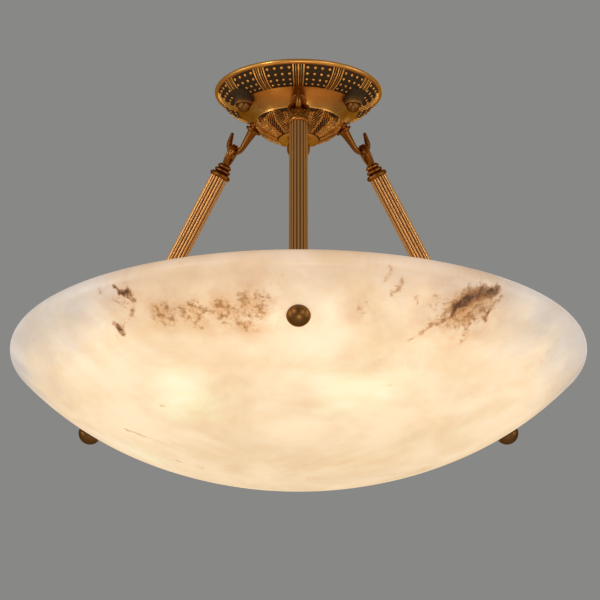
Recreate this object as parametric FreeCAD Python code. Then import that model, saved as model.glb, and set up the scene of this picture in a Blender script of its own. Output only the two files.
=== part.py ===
"""Alabaster bowl pendant: a stone bowl hung on three hooked arms under a brass canopy.

Millimetres, +Z up. The origin is the centre of the canopy on the ceiling plane.
The front arm points along -Y. A piece that repeats round the axis is drawn once in
the X-Z plane (X outwards, Y along the turn) and then turned to its angle.
"""
import FreeCAD, Part
import math
import os

V = FreeCAD.Vector
UP = V(0, 0, 1)
ORIGIN = V(0, 0, 0)

# ---- driving dimensions -----------------------------------------------------------
# bowl
BOWL_RADIUS = 250.0         # widest, at the lip
BOWL_DEPTH = 116.3          # lip top to the lowest point outside
BOWL_WALL = 14.0
BOWL_LIP_ROUND = 9.5        # outer rounding of the lip
BOWL_LIP_ANGLE = 46.85      # tilt of the wall's normal from straight down, at the lip
BOWL_TURN_ANGLE = 24.9      # the same where the flat bottom arc meets the side arc
LIP_DROP = 239.5            # ceiling plane to the top of the lip

# canopy
CANOPY_RADIUS = 74.5
CANOPY_BEAD = 2.0           # section radius of the rolled edge
CANOPY_WALL = 1.6
FRIEZE_TOP = (71.0, -4.0)   # (radius, height) where the ornamented band starts
FRIEZE_BOTTOM = (53.7, -17.6)
FRIEZE_BULGE = 2.6          # height of the band's arc over its chord
COVE_BOTTOM = (38.9, -30.2)
COVE_HOLLOW = 1.6           # depth of the plain cove's arc under its chord
BOSS_WALL = 2.4
BOSS_SHOULDER = (36.6, -35.6)
BOSS_WAIST = (27.6, -42.2)
BOSS_BOTTOM = (13.5, -48.0)
BOSS_BULGE = 1.2
BOSS_SPIGOT = 4.0           # how far the boss stands up inside the canopy

# mounting plate, its studs and the cap nuts
PLATE_RADIUS = 62.5
PLATE_THICK = 2.0
PAN_DEPTH = 6.0             # drop of its middle, room for the locknut
PAN_RADIUS = 15.0
PAN_RAMP = 7.0
BOX_SCREW_SPACING = 69.85   # a small round ceiling box
BOX_SLOT_LENGTH = 12.0
BOX_SLOT_WIDTH = 5.0
WIRE_HOLE_RADIUS = 10.0     # openings in the plate for the supply wires
WIRE_HOLE_CIRCLE = 42.0     # from the middle to their centres
STUD_CIRCLE = 55.5          # from the middle to the cap nuts
PLATE_STUD_RADIUS = 2.5
PLATE_NUT_ACROSS = 8.0
PLATE_NUT_THICK = 4.0
CAP_NUT_RADIUS = 5.9
CAP_NUT_SKIRT = 1.2
CAP_NUT_BORE_DEPTH = 4.1
CAP_NUT_SEAT_DEPTH = 24.5   # below the ceiling plane
CAP_NUT_RECESS_GAP = 0.5
CAP_NUT_PAD = 1.2           # rim of the seat round the nut

# hooks
HOOK_ROOT = (43.6, -24.9)   # where the shank's axis leaves the cove
HOOK_BEND_CENTRE = (63.8, -38.2)
HOOK_BEND_RADIUS = 7.8      # centre line of the bend
HOOK_WIRE_RADIUS = 2.5      # at the bend
HOOK_SHANK_RADIUS = 4.4     # at the collars
HOOK_TIP_RADIUS = 1.5
HOOK_TIP_ANGLE = 18.0       # where the bend ends, above level
HOOK_TIP_LENGTH = 8.4
HOOK_COLLARS = ((6.0, 2.4), (7.3, 3.0))   # radius and thickness of each collar
HOOK_COLLAR_GAP = 1.0
HOOK_COLLAR_NECK = 4.9
HOOK_THREAD_RADIUS = 3.0
HOOK_NUT_ACROSS = 10.0      # across its flats
HOOK_NUT_THICK = 4.0
HOOK_THREAD_PROUD = 1.2     # thread past its nut
HOOK_SEAT_DEPTH = 2.4       # along the shank, through the sloping wall

# arms
ARM_RADIUS = 8.0            # over the reeds
ARM_REEDS = 16
ARM_REED_DEPTH = 1.0
ARM_BORE = 4.0
ARM_FOOT_OFFSET = 6.6       # arm axis from the stud axis, measured on the wall
EYE_RADIUS = 8.3            # centre line of the eye
EYE_STRAND = 1.7            # radius of each of its two strands
EYE_STRAND_OFFSET = 1.1     # each strand from the eye's middle plane
EYE_NECK_HALF = 2.4         # half the spread of the strands where they meet the cap
EYE_IN_CAP = 1.0            # how far the strands run into the cap
EYE_TURN = 24.0             # side eyes are turned this far about their arms
CAP_START = 10.2            # eye centre to the top of the cap
CAP_RING_RADII = (6.4, 7.5, 9.6)
CAP_RING_HEIGHTS = (3.2, 3.2, 4.6)
CAP_RING_GAP = 0.7
CAP_NECK = 5.2
SPIGOT_LENGTH = 12.0
FOOT_HEIGHT = 20.0          # wall to the collar at the arm's lower end
FOOT_COLLAR = 9.6
FOOT_COLLAR_HEIGHT = 5.0
FOOT_PAD_RADIUS = 13.0
FOOT_PAD_HEIGHT = 4.0
FOOT_SHOE_SHARE = 0.8       # shoe's ends against the collar and the pad
FOOT_COLLAR_FILLET = 1.7

# studs, washers and finials through the bowl
STUD_WALL_ANGLE = 38.2      # tilt of the wall's normal from straight down, at the studs
STUD_RADIUS = 3.0
BOWL_HOLE_RADIUS = 4.0
INNER_WASHER = 2.0
OUTER_WASHER = 1.5
OUTER_WASHER_RADIUS = 9.4
FINIAL_RADIUS = 10.3
STUD_IN_FOOT = 8.0
STUD_IN_FINIAL = 6.0

# stem and lamp cluster
NIPPLE_RADIUS = 5.0
NIPPLE_BORE = 3.6
NIPPLE_TOP = 1.0            # below the ceiling plane
LOCKNUT_ACROSS = 14.0
LOCKNUT_THICK = 4.0
BALL_RADIUS = 10.3
BALL_CENTRE_DEPTH = 55.5
STEM_RING_RADIUS = 8.2
STEM_RING_HEIGHT = 3.6
STEM_NECK_HEIGHT = 2.4
STEM_NECK_RADIUS = 6.0
STEM_TUBE_RADIUS = 6.5
CLUSTER_RADIUS = 26.0
CLUSTER_HEIGHT = 34.0
CLUSTER_WALL = 2.0
CLUSTER_FILLET = 3.0
CLUSTER_DEPTH_IN_BOWL = 3.0  # lip top to the top of the cluster
CLUSTER_DOME = 7.0
CLUSTER_NUT_RADIUS = 7.0
CLUSTER_NUT_HEIGHT = 9.0
CLUSTER_NUT_RIM = 2.0
CLUSTER_NUT_BULGE = 1.75
CLUSTER_LID_BULGE = 2.3
CLUSTER_LID_FLAT = 8.0      # radius of its level middle
LAMP_COUNT = 6
LAMP_FIRST = 50.0           # turn of the first lamp from the +X axis
LAMP_DROP = 16.0            # lamps point this far below level
HOLDER_RADIUS = 11.0
HOLDER_LENGTH = 38.0
HOLDER_IN_CLUSTER = 4.0
HOLDER_FLOOR = 6.0
LAMP_CAP_RADIUS = 6.9
LAMP_CAP_LENGTH = 26.0
LAMP_CONTACT = 3.0          # cone at the cap's end
LAMP_GLASS_RADIUS = 17.5
LAMP_GLASS_LENGTH = 76.0
LAMP_GLASS_WALL = 1.0
LAMP_WIDEST = 0.42          # share of the glass's length, from its neck
LAMP_SHOULDER_BULGE = 2.0
LAMP_TIP_BULGE = 5.0
POLE_FLAT = 0.8             # small flat where a turned dome meets its axis

# small pieces in the canopy
TERMINAL_SIZE = (26.0, 12.0, 9.0)
TERMINAL_OFFSET = (-13.0, 13.0)
TERMINAL_SCREW = 1.6
TERMINAL_WAYS = 3
TERMINAL_CUT = 9.0          # hollow round the nipple
EARTH_SCREW_RADIUS = 2.0
EARTH_HEAD_RADIUS = 3.6
EARTH_HEAD_HEIGHT = 2.4
EARTH_SLOT_WIDTH = 0.9
EARTH_SLOT_DEPTH = 1.0
EARTH_CIRCLE = 28.0         # from the middle to the earth screw
EARTH_ANGLE = 90.0

# fits
RUNNING = 0.05              # radial, between a thread or shaft and its hole
SLIP = 0.3                  # radial, where a piece passes through with play
SEAT_GAP = 0.2              # face of a piece that turns to the face it sits on
EYE_GAP = 0.7               # eye to hook, with the bowl hanging

ARM_ANGLES = {"front": -90.0, "right": 30.0, "left": 150.0}
EYE_TURNS = {"front": 0.0, "right": EYE_TURN, "left": -EYE_TURN}
NUT_ANGLES = {"right": -30.0, "back": 90.0, "left": 210.0}


# ---- geometry helpers -------------------------------------------------------------
def point(pair):
    """Point of the X-Z plane from (radius, height)."""
    return V(pair[0], 0, pair[1])


def from_angle(centre, radius, angle):
    """(radius, height) on a circle; the angle is measured from straight down, outwards."""
    a = math.radians(angle)
    return (centre[0] + radius * math.sin(a), centre[1] - radius * math.cos(a))


def line(a, b):
    return Part.LineSegment(point(a), point(b)).toShape()


def arc(a, middle, b):
    return Part.Arc(point(a), point(middle), point(b)).toShape()


def bulged(a, b, height):
    """Arc from a to b that stands over its chord, to the left of the way a to b."""
    dx, dz = b[0] - a[0], b[1] - a[1]
    chord = math.hypot(dx, dz)
    middle = ((a[0] + b[0]) / 2 - dz / chord * height, (a[1] + b[1]) / 2 + dx / chord * height)
    return arc(a, middle, b)


def moved(pair, dr, dz):
    return (pair[0] + dr, pair[1] + dz)


def spin(edges):
    """Solid swept by a closed outline of the X-Z plane round the Z axis."""
    face = Part.Face(Part.Wire(Part.__sortEdges__(edges)))
    solid = face.revolve(ORIGIN, UP, 360)
    return solid if solid.Volume > 0 else solid.reversed()


def placed(shape, start, direction):
    """A shape drawn along +Z from the origin, stood at start and pointed along direction."""
    copy = shape.copy()
    copy.Placement = FreeCAD.Placement(start, FreeCAD.Rotation(UP, direction)).multiply(copy.Placement)
    return copy


def turned(shape, angle):
    """The shape turned round the object's axis."""
    copy = shape.copy()
    copy.rotate(ORIGIN, UP, angle)
    return copy


def rod(radius, start, direction, length):
    return Part.makeCylinder(radius, length, start, direction)


def hex_nut(across, thick, bore):
    """Hexagon nut standing on the X-Y plane, with its corners cut back by a cone."""
    corner = across / math.sqrt(3)
    points = [V(corner * math.cos(math.radians(60 * i)), corner * math.sin(math.radians(60 * i)), 0)
              for i in range(7)]
    prism = Part.Face(Part.makePolygon(points)).extrude(V(0, 0, thick))
    bevel = corner - across / 2
    cone = Part.makeCone(across / 2 + thick + bevel / 2, across / 2 + bevel / 2, thick)
    return prism.common(cone).cut(rod(bore, ORIGIN, UP, thick))


def ring(outer, inner, height):
    return Part.makeCylinder(outer, height).cut(Part.makeCylinder(inner, height))


def rounded_collar(radius, height, z):
    """Edges of a half-round moulding from (z) up to (z + height), as outline pieces."""
    depth = min(height / 2, radius / 3)
    return (radius - depth, z), (radius, z + height / 2), (radius - depth, z + height)


# ---- bowl -------------------------------------------------------------------------
def bowl_arcs():
    """Radii and centres of the bottom, side and lip arcs, which touch without a corner."""
    turn, lip = math.radians(BOWL_TURN_ANGLE), math.radians(BOWL_LIP_ANGLE)
    a1, b1 = math.sin(turn), math.sin(lip) - math.sin(turn)
    a2, b2 = 1 - math.cos(turn), math.cos(turn) - math.cos(lip)
    c1 = BOWL_RADIUS - BOWL_LIP_ROUND * (1 - math.sin(lip))
    c2 = BOWL_DEPTH - BOWL_LIP_ROUND * (1 + math.cos(lip))
    det = a1 * b2 - a2 * b1
    bottom_radius = (c1 * b2 - c2 * b1) / det
    side_radius = (a1 * c2 - a2 * c1) / det
    bottom_centre = (0.0, bottom_radius - BOWL_DEPTH - LIP_DROP)
    reach = bottom_radius - side_radius
    side_centre = from_angle(bottom_centre, reach, BOWL_TURN_ANGLE)
    lip_centre = (BOWL_RADIUS - BOWL_LIP_ROUND, -LIP_DROP - BOWL_LIP_ROUND)
    return bottom_radius, bottom_centre, side_radius, side_centre, lip_centre


BOTTOM_RADIUS, BOTTOM_CENTRE, SIDE_RADIUS, SIDE_CENTRE, LIP_CENTRE = bowl_arcs()


def lip_corner():
    """Where the inside of the wall meets the rounding of the lip."""
    lip = math.radians(BOWL_LIP_ANGLE)
    inward = BOWL_WALL - BOWL_LIP_ROUND
    along = math.sqrt(BOWL_LIP_ROUND ** 2 - inward ** 2)
    return (LIP_CENTRE[0] - inward * math.sin(lip) + along * math.cos(lip),
            LIP_CENTRE[1] + inward * math.cos(lip) + along * math.sin(lip))


def wall_point(depth_in):
    """(radius, height) on the stud axis, so far in from the outer face."""
    return from_angle(SIDE_CENTRE, SIDE_RADIUS - depth_in, STUD_WALL_ANGLE)


def stud_outward():
    a = math.radians(STUD_WALL_ANGLE)
    return V(math.sin(a), 0, -math.cos(a))


def make_bowl():
    corner = lip_corner()
    outer_low = from_angle(BOTTOM_CENTRE, BOTTOM_RADIUS, 0)
    outer_turn = from_angle(BOTTOM_CENTRE, BOTTOM_RADIUS, BOWL_TURN_ANGLE)
    outer_lip = from_angle(SIDE_CENTRE, SIDE_RADIUS, BOWL_LIP_ANGLE)
    inner_turn = from_angle(BOTTOM_CENTRE, BOTTOM_RADIUS - BOWL_WALL, BOWL_TURN_ANGLE)
    inner_low = from_angle(BOTTOM_CENTRE, BOTTOM_RADIUS - BOWL_WALL, 0)
    half_turn = BOWL_TURN_ANGLE / 2
    side_middle = (BOWL_TURN_ANGLE + BOWL_LIP_ANGLE) / 2
    corner_angle = math.degrees(math.atan2(corner[0] - LIP_CENTRE[0], LIP_CENTRE[1] - corner[1]))
    lip_middle = (BOWL_LIP_ANGLE + corner_angle) / 2
    edges = [
        arc(outer_low, from_angle(BOTTOM_CENTRE, BOTTOM_RADIUS, half_turn), outer_turn),
        arc(outer_turn, from_angle(SIDE_CENTRE, SIDE_RADIUS, side_middle), outer_lip),
        arc(outer_lip, from_angle(LIP_CENTRE, BOWL_LIP_ROUND, lip_middle), corner),
        arc(corner, from_angle(SIDE_CENTRE, SIDE_RADIUS - BOWL_WALL, side_middle), inner_turn),
        arc(inner_turn, from_angle(BOTTOM_CENTRE, BOTTOM_RADIUS - BOWL_WALL, half_turn), inner_low),
        line(inner_low, outer_low),
    ]
    bowl = spin(edges)
    start = point(wall_point(2 * BOWL_WALL))
    hole = rod(BOWL_HOLE_RADIUS, start, stud_outward(), 3 * BOWL_WALL)
    for angle in ARM_ANGLES.values():
        bowl = bowl.cut(turned(hole, angle))
    return bowl


# ---- canopy -----------------------------------------------------------------------
def solid_canopy():
    """The canopy's outside filled up to the ceiling plane, with its rolled edge."""
    bead = (CANOPY_RADIUS - CANOPY_BEAD, -CANOPY_BEAD)
    top, waist = moved(bead, 0, CANOPY_BEAD), moved(bead, 0, -CANOPY_BEAD)
    return spin([line((0, 0), top), arc(top, moved(bead, CANOPY_BEAD, 0), waist), line(waist, FRIEZE_TOP)]
                + canopy_bowl(0, 0)
                + [line(COVE_BOTTOM, (0, COVE_BOTTOM[1])), line((0, COVE_BOTTOM[1]), (0, 0))])


def canopy_bowl(dr, dz):
    """Edges of the frieze and the cove, moved by (dr, dz)."""
    high, low, end = (moved(p, dr, dz) for p in (FRIEZE_TOP, FRIEZE_BOTTOM, COVE_BOTTOM))
    return [bulged(high, low, FRIEZE_BULGE), bulged(low, end, -COVE_HOLLOW)]


def canopy_hollow():
    """The room inside the canopy, open to the ceiling."""
    high, end = (moved(p, -CANOPY_WALL, CANOPY_WALL) for p in (FRIEZE_TOP, COVE_BOTTOM))
    return spin([line((0, 0), (high[0], 0)), line((high[0], 0), high)]
                + canopy_bowl(-CANOPY_WALL, CANOPY_WALL)
                + [line(end, (0, end[1])), line((0, end[1]), (0, 0))])


def canopy_mouth():
    """Radius of the hole that the boss closes."""
    return COVE_BOTTOM[0] - 2 * CANOPY_WALL


def on_circle(radius, angle, height):
    a = math.radians(angle)
    return V(radius * math.cos(a), radius * math.sin(a), height)


def plain_shell():
    """The canopy's wall, before its seats and holes."""
    return solid_canopy().cut(canopy_hollow())


def make_canopy():
    shell, hollow = solid_canopy(), canopy_hollow()
    recess = CAP_NUT_RADIUS + CAP_NUT_RECESS_GAP
    pad, floor = recess + CAP_NUT_PAD, CANOPY_WALL + CAP_NUT_PAD
    seats = [on_circle(STUD_CIRCLE, angle, -CAP_NUT_SEAT_DEPTH) for angle in NUT_ANGLES.values()]
    for seat in seats:
        shell = shell.fuse(rod(pad, seat, UP, CAP_NUT_SEAT_DEPTH / 2))
        hollow = hollow.cut(rod(pad, seat - UP * floor, UP, 2 * floor))
    mouth = Part.makeCylinder(canopy_mouth(), -COVE_BOTTOM[1], point((0, COVE_BOTTOM[1])))
    canopy = shell.cut(hollow).cut(mouth)
    for seat in seats:
        canopy = canopy.cut(rod(recess, seat, -UP, CAP_NUT_SEAT_DEPTH))
        canopy = canopy.cut(rod(PLATE_STUD_RADIUS + SLIP, seat, UP, CAP_NUT_SEAT_DEPTH))
    out = hook_direction()
    for angle in ARM_ANGLES.values():
        start = point(HOOK_ROOT) - out * HOOK_NUT_ACROSS
        hole = rod(HOOK_THREAD_RADIUS + SLIP, start, out, 2 * HOOK_NUT_ACROSS)
        canopy = canopy.cut(turned(hole, angle))
    return canopy


def boss_outline(dr, dz):
    shoulder, waist, low = (moved(p, dr, dz) for p in (BOSS_SHOULDER, BOSS_WAIST, BOSS_BOTTOM))
    top = moved(COVE_BOTTOM, dr, 0)
    return [line(top, shoulder), bulged(shoulder, waist, BOSS_BULGE),
            bulged(waist, low, BOSS_BULGE)], top, low


def solid_boss(dr, dz):
    edges, top, low = boss_outline(dr, dz)
    return spin(edges + [line(low, (0, low[1])), line((0, low[1]), (0, top[1])), line((0, top[1]), top)])


def make_boss():
    """Hollow cast boss with a collar that stands up into the canopy's mouth."""
    top = COVE_BOTTOM[1]
    outer = canopy_mouth() - SLIP
    inner = outer - BOSS_WALL
    cast = solid_boss(0, 0)
    flange = cast.common(Part.makeCylinder(CANOPY_RADIUS, BOSS_WALL, V(0, 0, top - BOSS_WALL)))
    collar = Part.makeCylinder(outer, BOSS_SPIGOT + BOSS_WALL, V(0, 0, top - BOSS_WALL))
    room = Part.makeCylinder(inner, BOSS_SPIGOT + 2 * BOSS_WALL, V(0, 0, top - BOSS_WALL))
    bore = Part.makeCylinder(NIPPLE_RADIUS + RUNNING, LIP_DROP, V(0, 0, -LIP_DROP))
    hollow = solid_boss(-BOSS_WALL, BOSS_WALL)
    return cast.cut(hollow).fuse(flange.fuse(collar).cut(room)).removeSplitter().cut(bore)


# ---- mounting plate, studs, nuts ----------------------------------------------------
def make_plate():
    """Round plate with a dished middle, screwed to the ceiling box."""
    ramp_end = PAN_RADIUS + PAN_RAMP
    top = [(0, -PAN_DEPTH), (PAN_RADIUS, -PAN_DEPTH), (ramp_end, 0), (PLATE_RADIUS, 0)]
    outline = top + [moved(p, 0, -PLATE_THICK) for p in reversed(top)]
    plate = spin([line(a, b) for a, b in zip(outline, outline[1:] + outline[:1])])
    plate = plate.cut(rod(NIPPLE_RADIUS + RUNNING, ORIGIN, -UP, PAN_DEPTH + 2 * PLATE_THICK))
    for angle in NUT_ANGLES.values():
        plate = plate.cut(rod(PLATE_STUD_RADIUS, on_circle(STUD_CIRCLE, angle, 0), -UP, PLATE_THICK))
    for angle in ARM_ANGLES.values():
        plate = plate.cut(rod(WIRE_HOLE_RADIUS, on_circle(WIRE_HOLE_CIRCLE, angle, 0), -UP, PLATE_THICK))
    for side in (-1, 1):
        plate = plate.cut(box_slot(side * BOX_SCREW_SPACING / 2))
    return plate.cut(rod(EARTH_SCREW_RADIUS, earth_point(), -UP, PLATE_THICK))


def earth_point():
    return on_circle(EARTH_CIRCLE, EARTH_ANGLE, 0)


def box_slot(x):
    """Through slot along X for a ceiling box screw."""
    reach = (BOX_SLOT_LENGTH - BOX_SLOT_WIDTH) / 2
    corner = V(x - reach, -BOX_SLOT_WIDTH / 2, -PLATE_THICK)
    slot = Part.makeBox(2 * reach, BOX_SLOT_WIDTH, PLATE_THICK, corner)
    for end in (-reach, reach):
        slot = slot.fuse(rod(BOX_SLOT_WIDTH / 2, V(x + end, 0, 0), -UP, PLATE_THICK))
    return slot


def make_plate_studs():
    studs = []
    for angle in NUT_ANGLES.values():
        at = on_circle(STUD_CIRCLE, angle, 0)
        stud = rod(PLATE_STUD_RADIUS, at, -UP, CAP_NUT_SEAT_DEPTH + CAP_NUT_BORE_DEPTH - SEAT_GAP)
        nut = hex_nut(PLATE_NUT_ACROSS, PLATE_NUT_THICK, PLATE_STUD_RADIUS)
        studs.append(stud.fuse(placed(nut, at - UP * PLATE_THICK, -UP)).removeSplitter())
    return Part.makeCompound(studs)


def make_cap_nut(angle):
    """Domed nut, screwed up against its seat."""
    base = on_circle(STUD_CIRCLE, angle, -CAP_NUT_SEAT_DEPTH - SEAT_GAP)
    skirt = rod(CAP_NUT_RADIUS, base, -UP, CAP_NUT_SKIRT)
    dome = Part.makeSphere(CAP_NUT_RADIUS, base - UP * CAP_NUT_SKIRT)
    dome = dome.common(rod(2 * CAP_NUT_RADIUS, base - UP * CAP_NUT_SKIRT, -UP, CAP_NUT_RADIUS))
    bore = rod(PLATE_STUD_RADIUS + RUNNING, base, -UP, CAP_NUT_BORE_DEPTH)
    return skirt.fuse(dome).removeSplitter().cut(bore)


def make_earth_screw():
    shank = rod(EARTH_SCREW_RADIUS, earth_point(), -UP, PLATE_THICK)
    head_top = earth_point() - UP * PLATE_THICK
    head = rod(EARTH_HEAD_RADIUS, head_top, -UP, EARTH_HEAD_HEIGHT)
    corner = head_top - V(EARTH_HEAD_RADIUS, EARTH_SLOT_WIDTH / 2, EARTH_HEAD_HEIGHT)
    slot = Part.makeBox(2 * EARTH_HEAD_RADIUS, EARTH_SLOT_WIDTH, EARTH_SLOT_DEPTH, corner)
    return shank.fuse(head).removeSplitter().cut(slot)


def make_terminal_block():
    """Block of screw terminals on the underside of the plate."""
    length, width, height = TERMINAL_SIZE
    x, y = TERMINAL_OFFSET
    top = -PAN_DEPTH - PLATE_THICK
    block = Part.makeBox(length, width, height, V(x, y - width, top - height))
    block = block.cut(rod(TERMINAL_CUT, ORIGIN, -UP, height - 2 * top))
    pitch = length / TERMINAL_WAYS
    for i in range(TERMINAL_WAYS):
        at = V(x + pitch * (i + 0.5), y - width / 4, top - height)
        block = block.cut(rod(TERMINAL_SCREW, at, UP, height / 2))
    return block


# ---- hooks ------------------------------------------------------------------------
def hook_tangent_angle():
    """Angle, from +X, where the straight shank touches the bend."""
    dx = HOOK_ROOT[0] - HOOK_BEND_CENTRE[0]
    dz = HOOK_ROOT[1] - HOOK_BEND_CENTRE[1]
    return math.atan2(dz, dx) + math.acos(HOOK_BEND_RADIUS / math.hypot(dx, dz))


def bend_point(angle):
    return V(HOOK_BEND_CENTRE[0] + HOOK_BEND_RADIUS * math.cos(angle), 0,
             HOOK_BEND_CENTRE[1] + HOOK_BEND_RADIUS * math.sin(angle))


def hook_direction():
    """Way the shank leaves the canopy."""
    return (bend_point(hook_tangent_angle()) - point(HOOK_ROOT)).normalize()


def collars_length():
    return sum(thick for _, thick in HOOK_COLLARS) + HOOK_COLLAR_GAP * len(HOOK_COLLARS)


def hook_wire():
    """Tapered shank, round bend and tapered tip, each tangent to the next."""
    out = hook_direction()
    start = point(HOOK_ROOT) + out * (collars_length() - HOOK_COLLAR_GAP)
    first = hook_tangent_angle()
    last = 2 * math.pi + math.radians(HOOK_TIP_ANGLE)
    touch, tip_base = bend_point(first), bend_point(last)
    shank = Part.makeCone(HOOK_SHANK_RADIUS, HOOK_WIRE_RADIUS, start.distanceToPoint(touch), start, out)
    sweep = math.degrees(last - first)
    bend = Part.makeTorus(HOOK_BEND_RADIUS, HOOK_WIRE_RADIUS, ORIGIN, UP, 0, 360, sweep)
    bend.rotate(ORIGIN, UP, math.degrees(first))
    bend.rotate(ORIGIN, V(1, 0, 0), 90)
    bend.translate(point(HOOK_BEND_CENTRE))
    way = V(-math.sin(last), 0, math.cos(last))
    tip = Part.makeCone(HOOK_WIRE_RADIUS, HOOK_TIP_RADIUS, HOOK_TIP_LENGTH, tip_base, way)
    end = Part.makeSphere(HOOK_TIP_RADIUS, tip_base + way * HOOK_TIP_LENGTH)
    return shank.fuse([bend, tip, end])


def make_hook():
    hook = hook_wire()
    out = hook_direction()
    at = 0.0
    for radius, thick in HOOK_COLLARS:
        low, middle, high = rounded_collar(radius, thick, at)
        collar = spin([line((0, at), low), arc(low, middle, high), line(high, (0, at + thick)),
                       line((0, at + thick), (0, at))])
        hook = hook.fuse(placed(collar, point(HOOK_ROOT), out))
        at += thick + HOOK_COLLAR_GAP
    hook = hook.fuse(rod(HOOK_COLLAR_NECK, point(HOOK_ROOT), out, at))
    inside = HOOK_SEAT_DEPTH + HOOK_NUT_THICK + HOOK_THREAD_PROUD
    thread = rod(HOOK_THREAD_RADIUS, point(HOOK_ROOT) - out * inside, out, inside + HOOK_COLLAR_GAP)
    return hook.cut(plain_shell()).fuse(thread)


def make_hook_nut():
    """Nut on the hook's thread, shaped to the inside of the cove."""
    out = hook_direction()
    reach = HOOK_SEAT_DEPTH + HOOK_NUT_THICK
    nut = hex_nut(HOOK_NUT_ACROSS, reach, HOOK_THREAD_RADIUS)
    return placed(nut, point(HOOK_ROOT), -out).common(canopy_hollow())


# ---- arms -------------------------------------------------------------------------
def arm_line():
    """Eye centre, foot point on the bowl's inner face, and the arm's direction."""
    inner = point(wall_point(BOWL_WALL))
    out = stud_outward()
    up_wall = V(-out.z, 0, out.x)
    foot = inner + up_wall * ARM_FOOT_OFFSET
    bend = point(HOOK_BEND_CENTRE)
    way = (foot - bend).normalize()
    free = HOOK_BEND_RADIUS - HOOK_WIRE_RADIUS - EYE_STRAND - EYE_GAP
    seat = math.sqrt(free ** 2 - EYE_STRAND_OFFSET ** 2)
    eye = bend + way * (seat + EYE_RADIUS)
    return eye, foot, way


EYE_CENTRE, FOOT_POINT, ARM_WAY = arm_line()
ARM_LENGTH = EYE_CENTRE.distanceToPoint(FOOT_POINT)
CAP_LENGTH = sum(CAP_RING_HEIGHTS) + CAP_RING_GAP * len(CAP_RING_HEIGHTS)
TUBE_START = CAP_START + CAP_LENGTH
TUBE_END = ARM_LENGTH - FOOT_HEIGHT


def on_arm(shape, turn=0.0):
    """A shape drawn along +Z from the eye centre, laid along the arm."""
    copy = shape.copy()
    copy.rotate(ORIGIN, UP, turn)
    tilt = math.degrees(math.atan2(ARM_WAY.x, ARM_WAY.z))
    lay = FreeCAD.Placement(EYE_CENTRE, FreeCAD.Rotation(V(0, 1, 0), tilt))
    copy.Placement = lay.multiply(copy.Placement)
    return copy


def make_eye():
    """Two strands side by side, bent into a drop-shaped eye in the Y-Z plane."""
    reach = CAP_START + EYE_IN_CAP
    spread = math.hypot(EYE_NECK_HALF, reach)
    lean = math.atan2(EYE_NECK_HALF, reach)
    touch = lean + math.acos(EYE_RADIUS / spread)
    sweep = 360 - 2 * math.degrees(touch)
    eye = None
    for x in (-EYE_STRAND_OFFSET, EYE_STRAND_OFFSET):
        arch = Part.makeTorus(EYE_RADIUS, EYE_STRAND, ORIGIN, UP, 0, 360, sweep)
        arch.rotate(ORIGIN, UP, math.degrees(touch))
        upright = FreeCAD.Rotation(V(0, 0, 1), V(0, 1, 0), V(1, 0, 0), "ZXY")
        arch.Placement = FreeCAD.Placement(V(x, 0, 0), upright).multiply(arch.Placement)
        strand = arch
        for side in (-1, 1):
            start = V(x, side * EYE_RADIUS * math.sin(touch), EYE_RADIUS * math.cos(touch))
            end = V(x, side * EYE_NECK_HALF, reach)
            strand = strand.fuse(rod(EYE_STRAND, start, end - start, start.distanceToPoint(end)))
        eye = strand if eye is None else eye.fuse(strand)
    return eye


def make_eye_cap(turn):
    """Eye, three mouldings and the spigot that fills the tube's bore."""
    z = CAP_START
    start = (0, z)
    last = (CAP_NECK, z)
    edges = [line(start, last)]
    for radius, height in zip(CAP_RING_RADII, CAP_RING_HEIGHTS):
        low, middle, high = rounded_collar(radius, height, z + CAP_RING_GAP)
        edges += [line(last, low), arc(low, middle, high)]
        z, last = high[1], high
    spigot = ARM_BORE - RUNNING
    for corner in ((spigot, z), (spigot, z + SPIGOT_LENGTH), (0, z + SPIGOT_LENGTH), start):
        edges.append(line(last, corner))
        last = corner
    return on_arm(spin(edges).fuse(make_eye()), turn)


def make_arm_tube():
    """Reeded tube between the eye cap and the foot."""
    valley = ARM_RADIUS - ARM_REED_DEPTH
    step = 360.0 / ARM_REEDS
    edges = []
    for i in range(ARM_REEDS):
        angles = [math.radians(step * (i + part)) for part in (-0.5, 0.0, 0.5)]
        radii = (valley, ARM_RADIUS, valley)
        a, b, c = (V(r * math.cos(t), r * math.sin(t), 0) for r, t in zip(radii, angles))
        edges.append(Part.Arc(a, b, c).toShape())
    length = TUBE_END - TUBE_START
    tube = Part.Face(Part.Wire(edges)).extrude(V(0, 0, length)).cut(rod(ARM_BORE, ORIGIN, UP, length))
    tube.translate(V(0, 0, TUBE_START))
    return on_arm(tube)


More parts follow.
